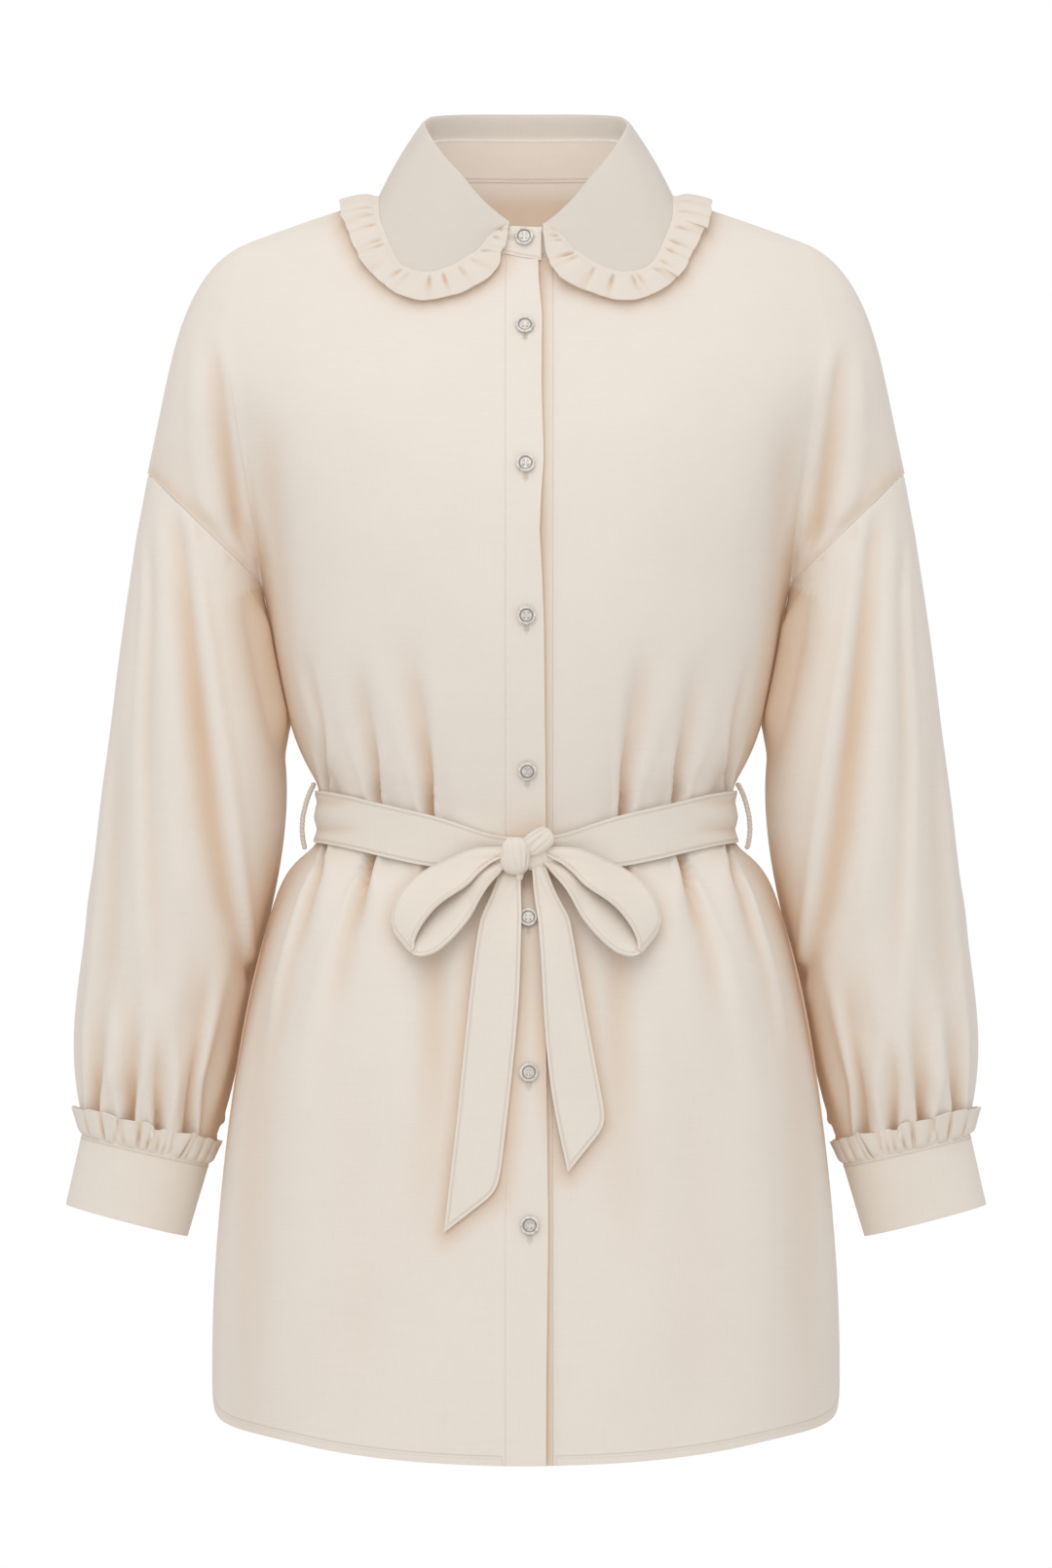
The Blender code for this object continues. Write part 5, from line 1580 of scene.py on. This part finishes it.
# %% Buttonholes
HOLE_LENGTH, HOLE_ABOVE = 15.0, 5.0
SATIN_PITCH, SATIN_OFF, BAR_OFF, SLIT_WIDTH = 0.42, 0.62, 0.4, 0.16
rows = stitch_rows.setdefault("buttonhole_stitches", [])
slits = bmesh.new()
for i, seat in seats.items():
    tree = search_tree(pieces["collar_stand" if i == 1 else "placket"].data)
    middle, (side, up, out) = seat.translation, seat.to_3x3().col
    run, across = (-side, up) if i == 1 else (-up, side)

    def on_cloth(along, off):
        start = middle + run * along + across * off + out * 6
        found, normal, _, _ = tree.ray_cast(start * MM, -out, 0.02)
        return found, normal

    satin, ends = np.arange(-HOLE_ABOVE, HOLE_LENGTH - HOLE_ABOVE, SATIN_PITCH), (-BAR_OFF, HOLE_LENGTH + BAR_OFF)
    bars = [end - HOLE_ABOVE for end in ends]
    for places, offs, way in ((satin, (-SATIN_OFF, SATIN_OFF), across), (bars, (-0.6, 0, 0.6), run)):
        for along in places:
            for off in offs:
                found, normal = on_cloth(along, off)
                if found is not None:
                    rows.append(Stitch(found, way, normal))
    found, _ = on_cloth(HOLE_LENGTH / 2 - HOLE_ABOVE, 0)
    if found is not None:
        size = Matrix.Diagonal((SLIT_WIDTH, HOLE_LENGTH, SLIT_WIDTH, 1))
        turn = axes_turn(across, run, across.cross(run))
        bmesh.ops.create_cube(slits, size=MM, matrix=Matrix.Translation(found) @ turn @ size)
bmesh.ops.bevel(
    slits, geom=slits.edges, offset=0.00005, segments=1, affect="EDGES", profile=0.5, material=-1
)
# painted shade: each slit is a thin dark box, coloured for the shade in the cut between the stitch rows
slit_shade = thread_material("slit", (0.58, 0.45, 0.35))
place_mesh("buttonhole_slits", slits, Matrix.Scale(1 / MM, 4), slit_shade)
print(len(rows), "buttonhole stitches")

# %% [markdown]
# ## Belt carriers
# At each side seam a loop of thread holds the belt. It is a chain of thread, sewn in above and below the belt, so it
# arches out round it. A chain is made from short links that lie over each other along the arch.

# %% Belt carriers
CARRIER_LINKS, CARRIER_RADIUS, LINK_LENGTH, LINK_OFF, LINK_LEAN = 34, 1.9, 2.3, 0.16, 9


def carrier_line(side):
    """The arch of a carrier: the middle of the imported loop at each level."""
    points = np.array([vert.co[:] for vert in nodes["belt_carrier_" + side].data.vertices]) / MM
    levels = np.unique(points[:, 2].round(0))
    middles = [points[np.abs(points[:, 2] - level) < 2.0].mean(axis=0) for level in levels]
    return evenly(evened(np.array(middles), 1), CARRIER_LINKS)[0]


for side in ("right", "left"):
    line = carrier_line(side)
    mesh = bmesh.new()
    for i in range(len(line) - 1):
        along = Vector(line[i + 1] - line[i]).normalized()
        middle = Vector((line[i] + line[i + 1]) / 2)
        way = 1 if i % 2 else -1
        off = along.orthogonal().normalized() * LINK_OFF * way
        turn = along.to_track_quat("Z", "Y").to_matrix().to_4x4()
        lean = Matrix.Rotation(math.radians(LINK_LEAN * way), 4, "X")
        made = bmesh.ops.create_uvsphere(mesh, u_segments=12, v_segments=8, radius=1)["verts"]
        shape = Matrix.Diagonal((CARRIER_RADIUS * 0.8, CARRIER_RADIUS * 0.8, LINK_LENGTH / 2 + 0.4, 1))
        bmesh.ops.transform(mesh, matrix=Matrix.Translation(middle + off) @ turn @ lean @ shape, verts=made)
    made = place_mesh(f"belt_carrier_{side}_thread", mesh, Matrix.Identity(4), thread)
    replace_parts(made, "belt_carrier_" + side)
    print("carrier", side, "of", len(line), "links")

# %% [markdown]
# ## Sewing
# Last, every row of stitches that was planned beside an edge is made into thread.

# %% Sewing
for word in ("hem", "band", "cuff", "collar", "belt", "buttonhole"):
    sew(word + "_stitches", thread)

# %% [markdown]
# ## Sizes of the cloth
# Each cut piece is listed with its finished size, flat on the table, and its measured cloth area is printed against
# that size, so that the model can be told from a stretched one. The area is what the cut leaves of that rectangle.

# %% Sizes
Cut = namedtuple("Cut", "width length area held on")
CUTS = {
    "front_right": Cut(0.30, 0.79, 0.172, "hung", "collar_stand"),
    "front_left": Cut(0.30, 0.79, 0.170, "hung", "collar_stand"),
    "back": Cut(0.60, 0.80, 0.352, "hung", "collar_stand"),
    "placket": Cut(0.0265, 0.775, None, "folded", "front_right"),
    "button_band": Cut(0.030, 0.775, None, "folded", "front_left"),
    "sleeve_{}": Cut(0.36, 0.43, 0.125, "gathered", "front_{}"),
    "cuff_{}": Cut(0.044, 0.225, None, "folded", "sleeve_{}"),
    "cuff_frill_{}": Cut(0.024, 0.29, None, "gathered", "cuff_{}"),
    "collar_stand": Cut(0.029, 0.38, None, "folded", "back"),
    "collar_fall": Cut(0.075, 0.42, 0.029, "folded", "collar_stand"),
    "collar_frill": Cut(0.019, 0.84, None, "gathered", "collar_fall"),
    "belt_band": Cut(0.032, 0.70, None, "folded", "front_right"),
    "bow_loop_{}": Cut(0.034, 0.15, None, "folded", "belt_knot"),
    "belt_tail_right": Cut(0.034, 0.23, 0.0066, "hung", "belt_knot"),
    "belt_tail_left": Cut(0.034, 0.195, 0.0049, "hung", "belt_knot"),
    "belt_knot": Cut(0.034, 0.06, None, "gathered", "belt_band"),
}
declared = [
    (name.format(side), cut._replace(on=cut.on.format(side)))
    for name, cut in CUTS.items()
    for side in (("right", "left") if "{}" in name else ("",))
]
for name, cut in declared:
    area = sum(face.area for face in pieces[name].data.polygons) / 2
    flat = cut.area or cut.width * cut.length
    print(name, "measures", round(area, 5), "of", round(flat, 5), "square metres:", round(area / flat, 2))
